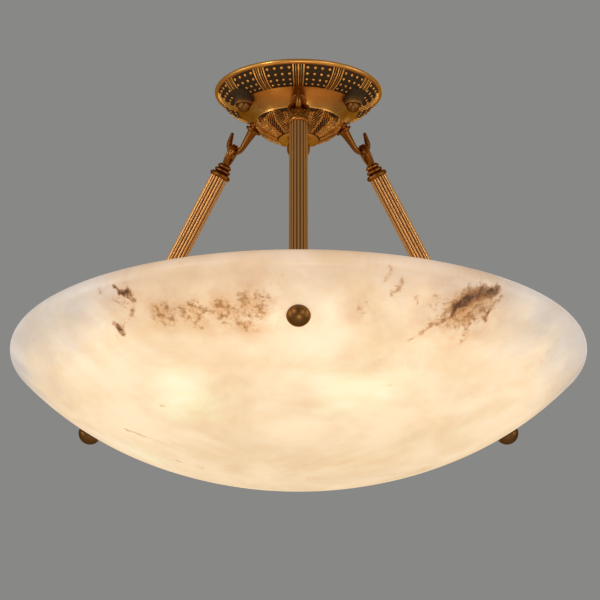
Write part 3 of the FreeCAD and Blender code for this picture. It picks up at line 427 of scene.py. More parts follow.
@dataclass(frozen=True)
class LitAlabaster(Finish):
    """Translucent alabaster with brown veins; the lamp light through it is painted into the emission colour,
    brightest where the lamps stand behind it.
    """

    pale: RGB = (0.60, 0.535, 0.46)
    cream: RGB = (0.56, 0.455, 0.335)
    tan: RGB = (0.42, 0.235, 0.10)
    brown: RGB = (0.20, 0.085, 0.028)
    black: RGB = (0.05, 0.022, 0.010)
    # Colours of the painted light in the emission: glow_side at the left and right ends, glow_lip near the
    # lip at the front and back, glow_deep lower down, glow_hot in the painted hot spots over the lamps.
    glow_side: RGB = (0.28, 0.265, 0.285)
    glow_lip: RGB = (0.35, 0.20, 0.095)
    glow_deep: RGB = (0.70, 0.51, 0.29)
    glow_hot: RGB = (0.66, 0.62, 0.38)
    lamps: int = 6
    first_lamp: float = 50.0
    hot_radius: float = 148.0
    hot_reach: float = 58.0
    hot_wander: float = 16.0
    glow_wander: float = 50.0
    vein_wander: float = 16.0
    vein_tremble: float = 12.0
    vein_bleed: float = 1.6
    halo_spread: float = 1.6
    lip: float = -239.5
    bump: float = 0.00016

    def surface(self, bench: Bench) -> Value:
        """Stone, marks and glow."""
        place = bench.place()
        middle = (0.5, 0.5, 0.5)
        wander = bench.vector("SUBTRACT", bench.noise(place, 26.0, 4.0, 0.6, "Color"), middle)
        tremble = bench.vector("SUBTRACT", bench.noise(place, 110.0, 4.0, 0.65, "Color"), middle)
        bent = bench.vector("ADD", place, bench.scaled(wander, self.vein_wander * MM))
        bent = bench.vector("ADD", bent, bench.scaled(tremble, self.vein_tremble * MM))
        cloud = bench.noise(place, 11.0, 6.0, 0.62, twist=0.6)
        mist = bench.noise(place, 34.0, 6.0, 0.66)
        grains = bench.noise(place, 170.0, 5.0, 0.68)
        bedded = bench.stretched(place, (8.0, 8.0, 46.0), (0.34, 0.22, 0.0))
        layers = bench.noise(bedded, 1.6, 5.0, 0.6, twist=0.3)
        paleness = (0.55 * cloud + 0.3 * layers + 0.15 * mist).rise(0.36, 0.62)
        stone = bench.blend(paleness, self.cream, self.pale)
        veins = self.veins(bench, bent) + 1.6 * (bench.noise(bent, 120.0, 6.0, 0.75) - 0.5)
        stains, halo = self.stains(bench, bent)
        specks = (stains + 0.9 * (grains - 0.5) + 0.5 * (mist - 0.5)).rise(0.42, 0.85)
        for share, tint in (((halo * 0.9 * mist.rise(0.3, 0.7)).held(), self.tan),
                            (specks * 0.6, self.tan),
                            (specks * grains.rise(0.45, 0.62) * 0.75, self.brown),
                            (veins.rise(0.22, 0.55) * 0.45, self.tan),
                            (veins.rise(0.38, 0.80) * 0.80, self.brown),
                            (veins.rise(0.68, 1.02) * 0.90, self.black)):
            stone = bench.blend(share, stone, tint)
        # Painted light: the lamps' light through the stone is painted into the emission colour, darkened
        # where the stone is marked.
        far = bench.vector("ADD", place, bench.scaled(wander, self.glow_wander * MM))
        through = self.glow(bench, far, cloud, grains)
        shade = bench.vector("DIVIDE", stone, self.pale)
        # relief is 1 on the bowl's outer face and 0 on its inner face, so the painted glow is weaker inside.
        outside = bench.named(RELIEF)
        through = bench.vector("MULTIPLY", through, shade)
        emission = bench.scaled(through, 0.35 + 0.65 * outside)
        polish = 0.32 + 0.16 * mist + 0.2 * specks
        return bench.add("ShaderNodeBsdfPrincipled", feeds={
            "Base Color": stone, "Roughness": polish, "Specular IOR Level": 0.4,
            "Emission Color": emission, "Emission Strength": 1.0,
            "Normal": bench.bump(mist * 0.5 + grains * 0.5, self.bump)})

    def veins(self, bench: Bench, place: Value) -> Value:
        """Darkness of the veins at a place, from 0 to 1."""
        total: Value | None = None
        for stroke in VEINS:
            start = Vector(stroke.start) * MM
            way = Vector(stroke.end) * MM - start
            along = bench.vector("SUBTRACT", place, tuple(start))
            share = bench.vector("DOT_PRODUCT", along, tuple(way / way.length_squared), output="Value").held()
            off = bench.vector("SUBTRACT", along, bench.scaled(tuple(way), share))
            gap = bench.vector("LENGTH", off, output="Value")
            mark = gap.rise((1.7 * stroke.width + self.vein_bleed) * MM, 0.0) * stroke.strength
            total = mark if total is None else total.top(mark)
        return total

    def stains(self, bench: Bench, place: Value) -> tuple[Value, Value]:
        """Density of the brown grains, and of the wider tint round them."""
        near: Value | None = None
        wide: Value | None = None
        for stain in STAINS:
            off = bench.vector("DISTANCE", place, tuple(v * MM for v in stain.centre), output="Value")
            core = off.rise(stain.radius * MM, 0.0) * stain.strength
            tint = off.rise(self.halo_spread * stain.radius * MM, 0.0) * stain.strength
            near = core if near is None else near.top(core)
            wide = tint if wide is None else wide.top(tint)
        return near, wide

    def glow(self, bench: Bench, place: Value, cloud: Value, grains: Value) -> Value:
        """Painted light: colour of the lamp light painted as coming through the stone, with painted hot spots
        over the lamps, a whiter painted side light at the left and right ends, and more glow lower down.
        """
        x, y, z = bench.parts(place)
        radius = (x * x + y * y) ** 0.5
        # Painted hot spots: one bright patch over each lamp, on a ring at hot_radius.
        turn = y.math("ARCTAN2", x) - math.radians(self.first_lamp)
        beat = 0.5 + 0.5 * (turn * float(self.lamps)).math("COSINE")
        ring = (radius + self.hot_wander * MM * (cloud - 0.5)) - self.hot_radius * MM
        ring = abs(ring).rise(self.hot_reach * MM, 0.0)
        # The painted hot spots fade to 0.45 at the left end and to 0.35 at the right end.
        clear = (0.45 + 0.55 * x.rise(-0.150, -0.095)) * (1.0 - 0.65 * x.rise(0.085, 0.135))
        hot = beat ** 1.4 * ring * (0.62 + 0.35 * cloud + 0.4 * grains) * clear
        # The painted glow grows towards the bottom of the bowl.
        deep = z.rise((self.lip - 6.0) * MM, (self.lip - 58.0) * MM)
        # Painted side light: the whiter glow_side colour at the left and right ends, the orange glow_lip at
        # the front and back.
        aside = (abs(x) - 0.25 * abs(z - self.lip * MM)).rise(0.085, 0.205)
        edge = bench.blend(aside, self.glow_lip, self.glow_side)
        base = bench.blend((deep * (0.70 + 0.5 * cloud)).held(), edge, self.glow_deep)
        base = bench.scaled(base, 0.72 + 0.38 * cloud)
        return bench.blend(hot.rise(0.15, 0.95), base, self.glow_hot)


@dataclass(frozen=True)
class LampGlass(Finish):
    """Opal lamp glass that shines."""

    colour: RGB = (0.95, 0.90, 0.80)
    shine: RGB = (1.0, 0.80, 0.52)
    strength: float = 1.1

    def surface(self, bench: Bench) -> Value:
        """Even glow with a faint cloud in the opal."""
        cloud = bench.noise(bench.place(), 60.0, 3.0, 0.5)
        glow = bench.scaled(self.shine, 0.8 + 0.2 * cloud)
        return bench.add("ShaderNodeBsdfPrincipled", feeds={
            "Base Color": bench.scaled(self.colour, 0.9 + 0.1 * cloud), "Roughness": 0.25,
            "Emission Color": glow, "Emission Strength": self.strength})


STONE = LitAlabaster("lit_alabaster", "alabaster")
BRASS = AntiqueBrass("antique_brass", "antique_brass", wear=0.55)
CHASED = AntiqueBrass("chased_brass", "ornate_brass", reads_relief=True, wear=0.6,
                      bright=(0.98, 0.50, 0.12), mid=(0.48, 0.18, 0.034))
REEDED = AntiqueBrass("reeded_brass", "antique_brass", reads_relief=True, wear=0.35,
                      bright=(0.95, 0.52, 0.20), mid=(0.72, 0.34, 0.11), dark=(0.045, 0.020, 0.009))
AGED = AntiqueBrass("aged_brass", "antique_brass", wear=0.5,
                    bright=(0.66, 0.29, 0.060), mid=(0.27, 0.095, 0.017))
KNOB = AntiqueBrass("bronze_knob", "bronze_knob", wear=0.35, rough=0.20,
                    bright=(0.40, 0.19, 0.058), mid=(0.20, 0.088, 0.025), edge=(0.75, 0.52, 0.28))
ZINC = Plain("zinc_steel", "zinc_steel", (0.62, 0.62, 0.60), 1.0, 0.38)
SCREW_BRASS = Plain("screw_brass", "plain_brass", (0.72, 0.52, 0.22), 1.0, 0.32)
TERMINAL = Plain("terminal_plastic", "terminal_plastic", (0.80, 0.79, 0.74), 0.0, 0.5)
WASHER = Plain("soft_washer", "rubber", (0.06, 0.05, 0.045), 0.0, 0.75)
PORCELAIN = Plain("holder_porcelain", "holder_porcelain", (0.86, 0.85, 0.81), 0.0, 0.22, 0.05)
LAMP_METAL = Plain("lamp_metal", "lamp_metal", (0.72, 0.72, 0.70), 1.0, 0.35)
GLASS = LampGlass("lamp_glass", "lamp_glass")
PAINT = FloorPaint("pale_floor", "", (0.62, 0.62, 0.60), 0.0, 0.8, 0.03, 30.0)


# ---- meshes -------------------------------------------------------------------------
@dataclass
class Draft:
    """Points, faces and relief of a piece while it is drawn, in millimetres."""

    points: list[Vector] = field(default_factory=list)
    faces: list[tuple[int, ...]] = field(default_factory=list)
    relief: list[float] = field(default_factory=list)

    def point(self, place: Vector, relief: float = 1.0) -> int:
        """Adds a point and gives its number."""
        self.points.append(place)
        self.relief.append(relief)
        return len(self.points) - 1

    def skin(self, rings: Sequence[Sequence[int]], ends: tuple[Vector, Vector]) -> None:
        """Closes a stack of rings of points.

        Args:
            rings: numbers of the points of each ring, in order.
            ends: middles of the first and last rings.
        """
        count = len(rings[0])
        for low, high in zip(rings, rings[1:]):
            self.faces += [(low[j], low[(j + 1) % count], high[(j + 1) % count], high[j])
                           for j in range(count)]
        for ring, place in zip((rings[0], rings[-1]), ends):
            middle = self.point(place)
            self.faces += [(ring[j], ring[(j + 1) % count], middle) for j in range(count)]

    def placed(self, matrix: Matrix) -> "Draft":
        """The same draft moved by a matrix."""
        return Draft([matrix @ p for p in self.points], list(self.faces), list(self.relief))

    def __add__(self, other: "Draft") -> "Draft":
        """Two drafts in one."""
        shift = len(self.points)
        faces = self.faces + [tuple(i + shift for i in face) for face in other.faces]
        return Draft(self.points + other.points, faces, self.relief + other.relief)

    def mesh(self, name: str) -> bpy.types.Mesh:
        """Closed mesh in metres, with its doubles merged and its faces outwards."""
        mesh = bpy.data.meshes.new(name)
        mesh.from_pydata([tuple(p * MM) for p in self.points], [], self.faces)
        mesh.attributes.new(RELIEF, "FLOAT", "POINT").data.foreach_set("value", self.relief)
        shape = bmesh.new()
        shape.from_mesh(mesh)
        bmesh.ops.remove_doubles(shape, verts=shape.verts, dist=WELD * MM)
        bmesh.ops.recalc_face_normals(shape, faces=shape.faces)
        shape.to_mesh(mesh)
        shape.free()
        return mesh


def bow(start: Point, end: Point, height: float, count: int = 16) -> list[Point]:
    """Arc from start to end that stands over its chord, to the left of the way.

    Args:
        start: first point.
        end: last point.
        height: how far the arc's middle is from the chord.
        count: number of steps.

    Returns:
        The points after the first.
    """
    dx, dz = end[0] - start[0], end[1] - start[1]
    chord = math.hypot(dx, dz)
    radius = (chord ** 2 / 4 + height ** 2) / (2 * abs(height))
    half = 2 * math.atan2(2 * abs(height), chord)
    sign = 1.0 if height > 0 else -1.0
    points = []
    for i in range(1, count + 1):
        a = half * (2 * i / count - 1)
        along = chord / 2 + radius * math.sin(a)
        over = sign * (radius * math.cos(a) - radius + abs(height))
        points.append((start[0] + (dx * along - dz * over) / chord,
                       start[1] + (dz * along + dx * over) / chord))
    return points


def round_from(centre: Point, radius: float, first: float, last: float, count: int) -> list[Point]:
    """Points of a circle, with angles in degrees from straight down, outwards."""
    angles = [math.radians(first + (last - first) * i / count) for i in range(count + 1)]
    return [(centre[0] + radius * math.sin(a), centre[1] - radius * math.cos(a)) for a in angles]


def moulding(radius: float, height: float, z: float, count: int = 8) -> list[Point]:
    """Half-round moulding from z to z + height, in order of rising z."""
    depth = min(height / 2, radius / 3)
    start, end = (radius - depth, z), (radius - depth, z + height)
    return [start] + bow(start, end, -depth, count)


def spun(outline: Sequence[Point], turns: int, relief: Sequence[float] | None = None) -> Draft:
    """A closed outline turned round the Z axis.

    Args:
        outline: (radius, height) points; one that starts and ends on the axis closes there.
        turns: steps round the axis.
        relief: relief of each point, or None for full relief.

    Returns:
        The turned draft.
    """
    draft = Draft()
    rings: list[list[int]] = []
    for i, (radius, height) in enumerate(outline):
        value = 1.0 if relief is None else relief[i]
        if radius < AXIS:
            rings.append([draft.point(Vector((0, 0, height)), value)])
            continue
        angles = (2 * math.pi / turns * j for j in range(turns))
        rings.append([draft.point(Vector((radius * math.cos(a), radius * math.sin(a), height)), value)
                      for a in angles])
    pairs = list(zip(rings, rings[1:]))
    if len(rings[0]) > 1:
        pairs.append((rings[-1], rings[0]))
    for low, high in pairs:
        for j in range(turns):
            k = (j + 1) % turns
            corners = [low[j % len(low)], low[k % len(low)], high[k % len(high)], high[j % len(high)]]
            face = tuple(dict.fromkeys(corners))
            if len(face) > 2:
                draft.faces.append(face)
    return draft


def swept(path: Sequence[Vector], radii: Sequence[float], sides: int = 24) -> Draft:
    """A round bar along a path in space, closed at both ends.

    Args:
        path: centre line.
        radii: radius at each of its points.
        sides: steps round the bar.

    Returns:
        The bar.
    """
    draft = Draft()
    rings: list[list[int]] = []
    across = Vector((0, 1, 0))
    for i, (place, radius) in enumerate(zip(path, radii)):
        way = (path[min(i + 1, len(path) - 1)] - path[max(i - 1, 0)]).normalized()
        if abs(way.dot(across)) > 0.95:
            across = Vector((1, 0, 0))
        across = (across - way * across.dot(way)).normalized()
        other = way.cross(across)
        rings.append([draft.point(place + radius * (math.cos(a) * across + math.sin(a) * other))
                      for a in (2 * math.pi * j / sides for j in range(sides))])
    draft.skin(rings, (path[0], path[-1]))
    return draft


def stood(start: Vector, way: Vector) -> Matrix:
    """Matrix that stands a shape drawn along +Z at a point, along a direction."""
    return Matrix.Translation(start) @ way.to_track_quat("Z", "Y").to_matrix().to_4x4()


def round_axis(degrees: float) -> Matrix:
    """Turn about the object's own axis."""
    return Matrix.Rotation(math.radians(degrees), 4, "Z")


# ---- geometry recipes ---------------------------------------------------------------
class Recipe:
    """A geometry node tree with named inputs, whose result becomes a plain mesh."""

    def __init__(self, name: str, kinds: dict[str, str]) -> None:
        """Starts the tree.

        Args:
            name: the tree's name.
            kinds: socket type of each named input.
        """
        self.tree = bpy.data.node_groups.new(name, "GeometryNodeTree")
        self.bench = Bench(self.tree)
        self.tree.interface.new_socket("Geometry", in_out="INPUT", socket_type="NodeSocketGeometry")
        for label, kind in {**kinds, "Finish": "NodeSocketMaterial"}.items():
            self.tree.interface.new_socket(label, in_out="INPUT", socket_type=kind)
        self.tree.interface.new_socket("Geometry", in_out="OUTPUT", socket_type="NodeSocketGeometry")
        self.entry = self.tree.nodes.new("NodeGroupInput")

    def given(self, label: str) -> Value:
        """One of the named inputs, or the base geometry."""
        return Value(self.bench, self.entry.outputs[label])

    def attribute(self, name: str, kind: str = "FLOAT") -> Value:
        """A named attribute of the geometry."""
        return self.bench.add("GeometryNodeInputNamedAttribute", {"data_type": kind}, {"Name": name})

    def stored(self, geometry: Value, value: Value) -> Value:
        """The geometry with its relief stored on its points."""
        settings = {"data_type": "FLOAT", "domain": "POINT"}
        return self.bench.add("GeometryNodeStoreNamedAttribute", settings,
                              {"Geometry": geometry, "Name": RELIEF, "Value": value})

    def close(self, geometry: Value) -> "Recipe":
        """Ends the tree: real geometry, dressed."""
        real = self.bench.add("GeometryNodeRealizeInstances", feeds={0: geometry})
        dressed = self.bench.add("GeometryNodeSetMaterial", feeds={
            "Geometry": real, "Material": self.given("Finish")})
        self.bench.node("NodeGroupOutput", feeds={0: dressed})
        return self

    def make(self, base: bpy.types.Mesh, finish: Finish, sizes: dict[str, Feed]) -> bpy.types.Mesh:
        """Runs the tree.

        Args:
            base: mesh that the tree starts from.
            finish: the finish of the result.
            sizes: value of each named input.

        Returns:
            The result as a plain mesh.
        """
        carrier = bpy.data.objects.new("carrier", base)
        bpy.context.collection.objects.link(carrier)
        modifier = carrier.modifiers.new("recipe", "NODES")
        modifier.node_group = self.tree
        items = self.tree.interface.items_tree
        names = {item.name: item.identifier for item in items if item.in_out == "INPUT"}
        for label, value in {**sizes, "Finish": finish.material()}.items():
            modifier[names[label]] = value
        graph = bpy.context.evaluated_depsgraph_get()
        mesh = bpy.data.meshes.new_from_object(carrier.evaluated_get(graph))
        carrier.modifiers.remove(modifier)
        bpy.data.objects.remove(carrier)
        return mesh


def sized_points(name: str, places: Sequence[RGB], edges: Sequence[tuple[int, int]],
                 sizes: Sequence[float]) -> bpy.types.Mesh:
    """Base mesh of a recipe, with a "size" attribute.

    Args:
        name: the mesh's name.
        places: its points, in metres.
        edges: its edges.
        sizes: size at each point, in metres.

    Returns:
        The mesh.
    """
    base = bpy.data.meshes.new(name)
    base.from_pydata(places, edges, [])
    base.attributes.new("size", "FLOAT", "POINT").data.foreach_set("value", sizes)
    return base


def bead_recipe() -> Recipe:
    """Domes of the "size" attribute's radius, standing along the "outward" attribute."""
    recipe = Recipe("beads", {"Segments": "NodeSocketInt", "Flatness": "NodeSocketFloat"})
    bench = recipe.bench
    dome = bench.add("GeometryNodeMeshUVSphere", feeds={
        "Segments": recipe.given("Segments"), "Rings": recipe.given("Segments") * 0.6, "Radius": 1.0})
    height = bench.parts(bench.add("GeometryNodeInputPosition"))[2]
    dome = recipe.stored(dome, height.rise(-0.1, 0.75))
    squash = bench.add("ShaderNodeCombineXYZ", feeds={0: 1.0, 1: 1.0, 2: recipe.given("Flatness")})
    dome = bench.add("GeometryNodeTransform", feeds={"Geometry": dome, "Scale": squash})
    turn = bench.add("FunctionNodeAlignRotationToVector", {"axis": "Z"},
                     {"Vector": recipe.attribute("outward", "FLOAT_VECTOR")})
    domes = bench.add("GeometryNodeInstanceOnPoints", feeds={
        "Points": recipe.given("Geometry"), "Instance": dome, "Rotation": turn,
        "Scale": recipe.attribute("size")})
    return recipe.close(domes)


def rib_recipe() -> Recipe:
    """Round ribs along the base's edges, of the "size" attribute's radius."""
    recipe = Recipe("ribs", {"Sides": "NodeSocketInt"})
    bench = recipe.bench
    lines = bench.add("GeometryNodeMeshToCurve", feeds={"Mesh": recipe.given("Geometry")})
    ring = bench.add("GeometryNodeCurvePrimitiveCircle", feeds={
        "Resolution": recipe.given("Sides"), "Radius": 1.0})
    ribs = bench.add("GeometryNodeCurveToMesh", feeds={
        "Curve": lines, "Profile Curve": ring, "Scale": recipe.attribute("size"), "Fill Caps": True})
    return recipe.close(recipe.stored(ribs, bench.add("ShaderNodeValue") * 0.0 + 1.0))


def reed_recipe() -> Recipe:
    """A straight tube from Start to End with round reeds all round it."""
    recipe = Recipe("reeds", {
        "Start": "NodeSocketVector", "End": "NodeSocketVector", "Reeds": "NodeSocketInt",
        "Radius": "NodeSocketFloat", "Depth": "NodeSocketFloat", "Steps": "NodeSocketInt"})
    bench = recipe.bench
    line = bench.add("GeometryNodeCurvePrimitiveLine", {"mode": "POINTS"},
                     {"Start": recipe.given("Start"), "End": recipe.given("End")})
    steps = recipe.given("Reeds") * recipe.given("Steps")
    ring = bench.add("GeometryNodeCurvePrimitiveCircle", feeds={
        "Resolution": steps, "Radius": recipe.given("Radius")})
    place = bench.add("GeometryNodeInputPosition")
    x, y, _ = bench.parts(place)
    swell = abs((y.math("ARCTAN2", x) * recipe.given("Reeds") * 0.5).math("COSINE"))
    ring = recipe.stored(ring, swell.rise(0.05, 0.9))
    depth = (swell - 1.0) * recipe.given("Depth")
    inward = bench.scaled(bench.vector("NORMALIZE", place), depth)
    ring = bench.add("GeometryNodeSetPosition", feeds={"Geometry": ring, "Offset": inward})
    tube = bench.add("GeometryNodeCurveToMesh", feeds={
        "Curve": line, "Profile Curve": ring, "Fill Caps": True})
    return recipe.close(tube)


# ---- pieces -------------------------------------------------------------------------
def tie(mesh: bpy.types.Mesh, name: str, body: str, finish: Finish, nodes: Sequence[str] = (),
        corner: float = 38.0) -> None:
    """Makes a finished piece of a mesh.

    Args:
        mesh: the piece's mesh, in place.
        name: the piece's name.
        body: body that it moves with.
        finish: its finish.
        nodes: solids that it stands for.
        corner: angle in degrees from which an edge stays sharp.
    """
    mesh.materials.clear()
    mesh.materials.append(finish.material())
    mesh.shade_smooth()
    mesh.set_sharp_from_angle(angle=math.radians(corner))
    piece = bpy.data.objects.new(name, mesh)
    bpy.context.collection.objects.link(piece)
    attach(piece, body)
    if nodes:
        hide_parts(*nodes)
    LOG.info("%-24s %6d faces on %s", name, len(mesh.polygons), body)


def drawn(draft: Draft, name: str, body: str, finish: Finish, *nodes: str, corner: float = 38.0) -> None:
    """Makes a finished piece of a draft; the other arguments are those of tie()."""
    tie(draft.mesh(name), name, body, finish, nodes, corner)


def smoothed(node: str, name: str, body: str, finish: Finish, corner: float = 30.0) -> None:
    """Makes a piece of a solid with its points merged, so that its round faces shade smoothly."""
    shape = bmesh.new()
    shape.from_mesh(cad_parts[node].data)
    bmesh.ops.remove_doubles(shape, verts=shape.verts, dist=WELD * MM)
    mesh = bpy.data.meshes.new(name)
    shape.to_mesh(mesh)
    shape.free()
    tie(mesh, name, body, finish, [node], corner)


@dataclass
class AlabasterBowl:
    """The stone bowl: two outer arcs, a rounded lip and a parallel inside."""

    radius: float = 250.0
    depth: float = 116.3
    wall: float = 14.0
    lip_round: float = 9.5
    lip_angle: float = 46.85
    turn_angle: float = 24.9
    lip_drop: float = 239.5
    turns: int = 300
    inner_points: int = 49

    def arcs(self) -> tuple[float, Point, float, Point, Point]:
        """Radius and centre of the bottom and side arcs, and the lip's centre."""
        turn, lip = math.radians(self.turn_angle), math.radians(self.lip_angle)
        a1, b1 = math.sin(turn), math.sin(lip) - math.sin(turn)
        a2, b2 = 1 - math.cos(turn), math.cos(turn) - math.cos(lip)
        c1 = self.radius - self.lip_round * (1 - math.sin(lip))
        c2 = self.depth - self.lip_round * (1 + math.cos(lip))
        det = a1 * b2 - a2 * b1
        bottom, side = (c1 * b2 - c2 * b1) / det, (a1 * c2 - a2 * c1) / det
        low = (0.0, bottom - self.depth - self.lip_drop)
        reach = bottom - side
        high = (low[0] + reach * math.sin(turn), low[1] - reach * math.cos(turn))
        return bottom, low, side, high, (self.radius - self.lip_round, -self.lip_drop - self.lip_round)

    def outline(self) -> list[Point]:
        """Outside from the lowest point up, over the lip and back down the inside."""
        bottom, low, side, high, lip = self.arcs()
        inward = self.wall - self.lip_round
        corner = math.degrees(math.acos(-inward / self.lip_round)) + self.lip_angle
        points = round_from(low, bottom, 0, self.turn_angle, 34)
        points += round_from(high, side, self.turn_angle, self.lip_angle, 30)[1:]
        points += round_from(lip, self.lip_round, self.lip_angle, corner, 18)[1:]
        points += round_from(high, side - self.wall, self.lip_angle, self.turn_angle, 24)[1:]
        points += round_from(low, bottom - self.wall, self.turn_angle, 0, 24)[1:]
        return points

    def wall_point(self, depth_in: float, angle: float) -> Vector:
        """Point in the X-Z plane, so far in from the outer face."""
        _, _, side, high, _ = self.arcs()
        (x, z), = round_from(high, side - depth_in, angle, angle, 1)[:1]
        return Vector((x, 0, z))

    def build(self) -> None:
        """Makes the bowl."""
        outline = self.outline()
        outer = len(outline) - self.inner_points
        # relief is 1 on the outer face and 0 on the inner face; the stone finish uses it to weaken its
        # painted glow inside.
        relief = [1.0 if i < outer else 0.0 for i in range(len(outline))]
        draft = spun([(max(x, 0.0), z) for x, z in outline], self.turns, relief)
        drawn(draft, "alabaster_bowl", Body.BOWL.value, STONE, "bowl", corner=60)


@dataclass
class Canopy:
    """Round canopy: rolled edge, beaded and ribbed frieze, plain cove and chased boss."""

    radius: float = 74.5
    bead: float = 2.0
    wall: float = 1.6
    frieze_top: Point = (71.0, -4.0)
    frieze_low: Point = (53.7, -17.6)
    frieze_bulge: float = 2.6
    cove_low: Point = (38.9, -30.2)
    cove_hollow: float = 1.6
    bands: int = 12
    rib_spread: float = 3.9
    rib_radius: float = 0.72
    line_radius: float = 0.30
    bead_rows: tuple[tuple[float, float], ...] = ((0.13, 1.55), (0.38, 1.45), (0.63, 1.32), (0.86, 1.15))
    bead_turns: tuple[float, ...] = (6.8, 12.3, 17.7, 23.2)
    shoulder: Point = (36.6, -35.6)
    waist: Point = (27.6, -42.2)
    foot: Point = (13.5, -48.0)
    boss_bulge: float = 1.2
    leaves: int = 10
    leaf_top: float = 0.05
    leaf_low: float = 0.86
    leaf_rows: tuple[tuple[float, float], ...] = ((0.5, 0.08), (0.0, 0.0))
    leaf_arch: float = 0.20
    leaf_fill: float = 0.95
    rim_inset: float = 0.7
    rim_width: float = 0.55
    spine_width: float = 0.8
    frond_pitch: float = 2.5
    chase_depth: float = 1.4
    chase_sink: float = 1.0
    boss_turns: int = 600
    stud_circle: float = 55.5
    nut_angles: tuple[tuple[str, float], ...] = (("right", -30.0), ("back", 90.0), ("left", 210.0))
    nut_radius: float = 5.9
    nut_skirt: float = 1.2
    nut_seat: float = -24.7
    nut_clear: float = 8.5

    def shell_outline(self) -> tuple[list[Point], list[float]]:
        """Closed outline of the shell and the relief of each point."""
        edge = (self.radius - self.bead, -self.bead)
        w = self.wall
        rim = round_from(edge, self.bead, 180, 0, 14)
        frieze = [self.frieze_top] + bow(self.frieze_top, self.frieze_low, self.frieze_bulge, 20)
        lip = (self.frieze_low[0] + 0.3, self.frieze_low[1] - 0.7)
        cove = [lip] + bow((lip[0] - 0.9, lip[1] - 0.2), self.cove_low, -self.cove_hollow, 20)
        mouth = self.cove_low[0] - 2 * w
        inside = [(mouth, self.cove_low[1]), (mouth, self.cove_low[1] + w)]
        inside += [(x - w, z + w) for x, z in (self.cove_low, self.frieze_low, self.frieze_top)]
        inside.append((self.frieze_top[0] - w, 0.0))
        points = rim + [(self.frieze_top[0] + 0.4, self.frieze_top[1] + 0.3)] + frieze + cove + inside
        relief = [1.0] * (len(rim) + 1) + [0.0] * len(frieze) + [0.75] * (len(cove) + len(inside))
        return points, relief

    def on_frieze(self, share: float, proud: float) -> tuple[Vector, Vector]:
        """Point of the frieze in the X-Z plane, so far out from it, and its outward direction."""
        arc = [self.frieze_top] + bow(self.frieze_top, self.frieze_low, self.frieze_bulge, 60)
        i = min(int(share * 60), 59)
        a, b = Vector((arc[i][0], 0, arc[i][1])), Vector((arc[i + 1][0], 0, arc[i + 1][1]))
        place = a.lerp(b, share * 60 - i)
        way = (b - a).normalized()
        out = Vector((-way.z, 0, way.x))
        return place + out * proud, out

    def build(self) -> None:
        """Makes the canopy and its fittings."""
        outline, relief = self.shell_outline()
        shell = spun(outline, 240, relief)
        drawn(shell, "canopy_shell_turned", Body.CEILING.value, CHASED, "canopy_shell")
        self.build_beads()
        self.build_ribs()
        self.build_boss()
        self.build_nuts()
        for node, finish in (("mounting_plate", ZINC), ("plate_studs", ZINC), ("earth_screw", SCREW_BRASS),
                             ("terminal_block", TERMINAL), ("stem_nipple", ZINC), ("stem_locknut", ZINC),
                             ("hook_nuts", ZINC)):
            smoothed(node, node + "_dressed", Body.CEILING.value, finish)

    def build_beads(self) -> None:
        """Raised beads in rows between the rib bands."""
        places, outward, sizes = [], [], []
        for band in range(self.bands):
            for turn in self.bead_turns:
                middle = -90 + 360 / self.bands * band + turn
                matrix = round_axis(middle)
                for share, size in self.bead_rows[:2] if self.near_nut(middle) else self.bead_rows:
                    place, out = self.on_frieze(share, -0.15 * size)
                    places.append(tuple(matrix @ place * MM))
                    outward += list(matrix @ out)
                    sizes.append(size * MM)
        base = sized_points("bead_places", places, [], sizes)
        base.attributes.new("outward", "FLOAT_VECTOR", "POINT").data.foreach_set("vector", outward)
        mesh = bead_recipe().make(base, CHASED, {"Segments": 14, "Flatness": 0.85})
        tie(mesh, "frieze_beads", Body.CEILING.value, CHASED, corner=180)

    def near_nut(self, degrees: float) -> bool:
        """Whether a turn of the frieze is beside a cap nut's seat."""
        gaps = (abs((degrees - angle + 180) % 360 - 180) for _, angle in self.nut_angles)
        return min(gaps) < self.nut_clear

    def build_ribs(self) -> None:
        """Bands of three bold ribs with fine lines between them."""
        places, edges, sizes = [], [], []
        steps = 14
        for band in range(self.bands):
            middle = -90 + 360 / self.bands * band
            last = 0.62 if self.near_nut(middle) else 1.0
            for part in (-1.0, -0.5, 0.0, 0.5, 1.0):
                bold = part in (-1.0, 0.0, 1.0)
                radius = self.rib_radius if bold else self.line_radius
                matrix = round_axis(middle + part * self.rib_spread)
                for i in range(steps + 1):
                    share = last * i / steps
                    place, _ = self.on_frieze(share, 0.25 * radius)
                    places.append(tuple(matrix @ place * MM))
                    sizes.append(radius * (1 - 0.25 * share) * MM)
                    if i:
                        edges.append((len(places) - 2, len(places) - 1))
        base = sized_points("rib_lines", places, edges, sizes)
        mesh = rib_recipe().make(base, CHASED, {"Sides": 10})
        tie(mesh, "frieze_ribs", Body.CEILING.value, CHASED, corner=60)

    def boss_arc(self) -> list[Point]:
        """Outside of the boss from its top to its foot."""
        top = self.cove_low
        dx, dz = self.shoulder[0] - top[0], self.shoulder[1] - top[1]
        points = [top] + [(top[0] + dx * i / 14, top[1] + dz * i / 14) for i in range(1, 15)]
        points += bow(self.shoulder, self.waist, self.boss_bulge, 28)
        return points + bow(self.waist, self.foot, self.boss_bulge, 36)

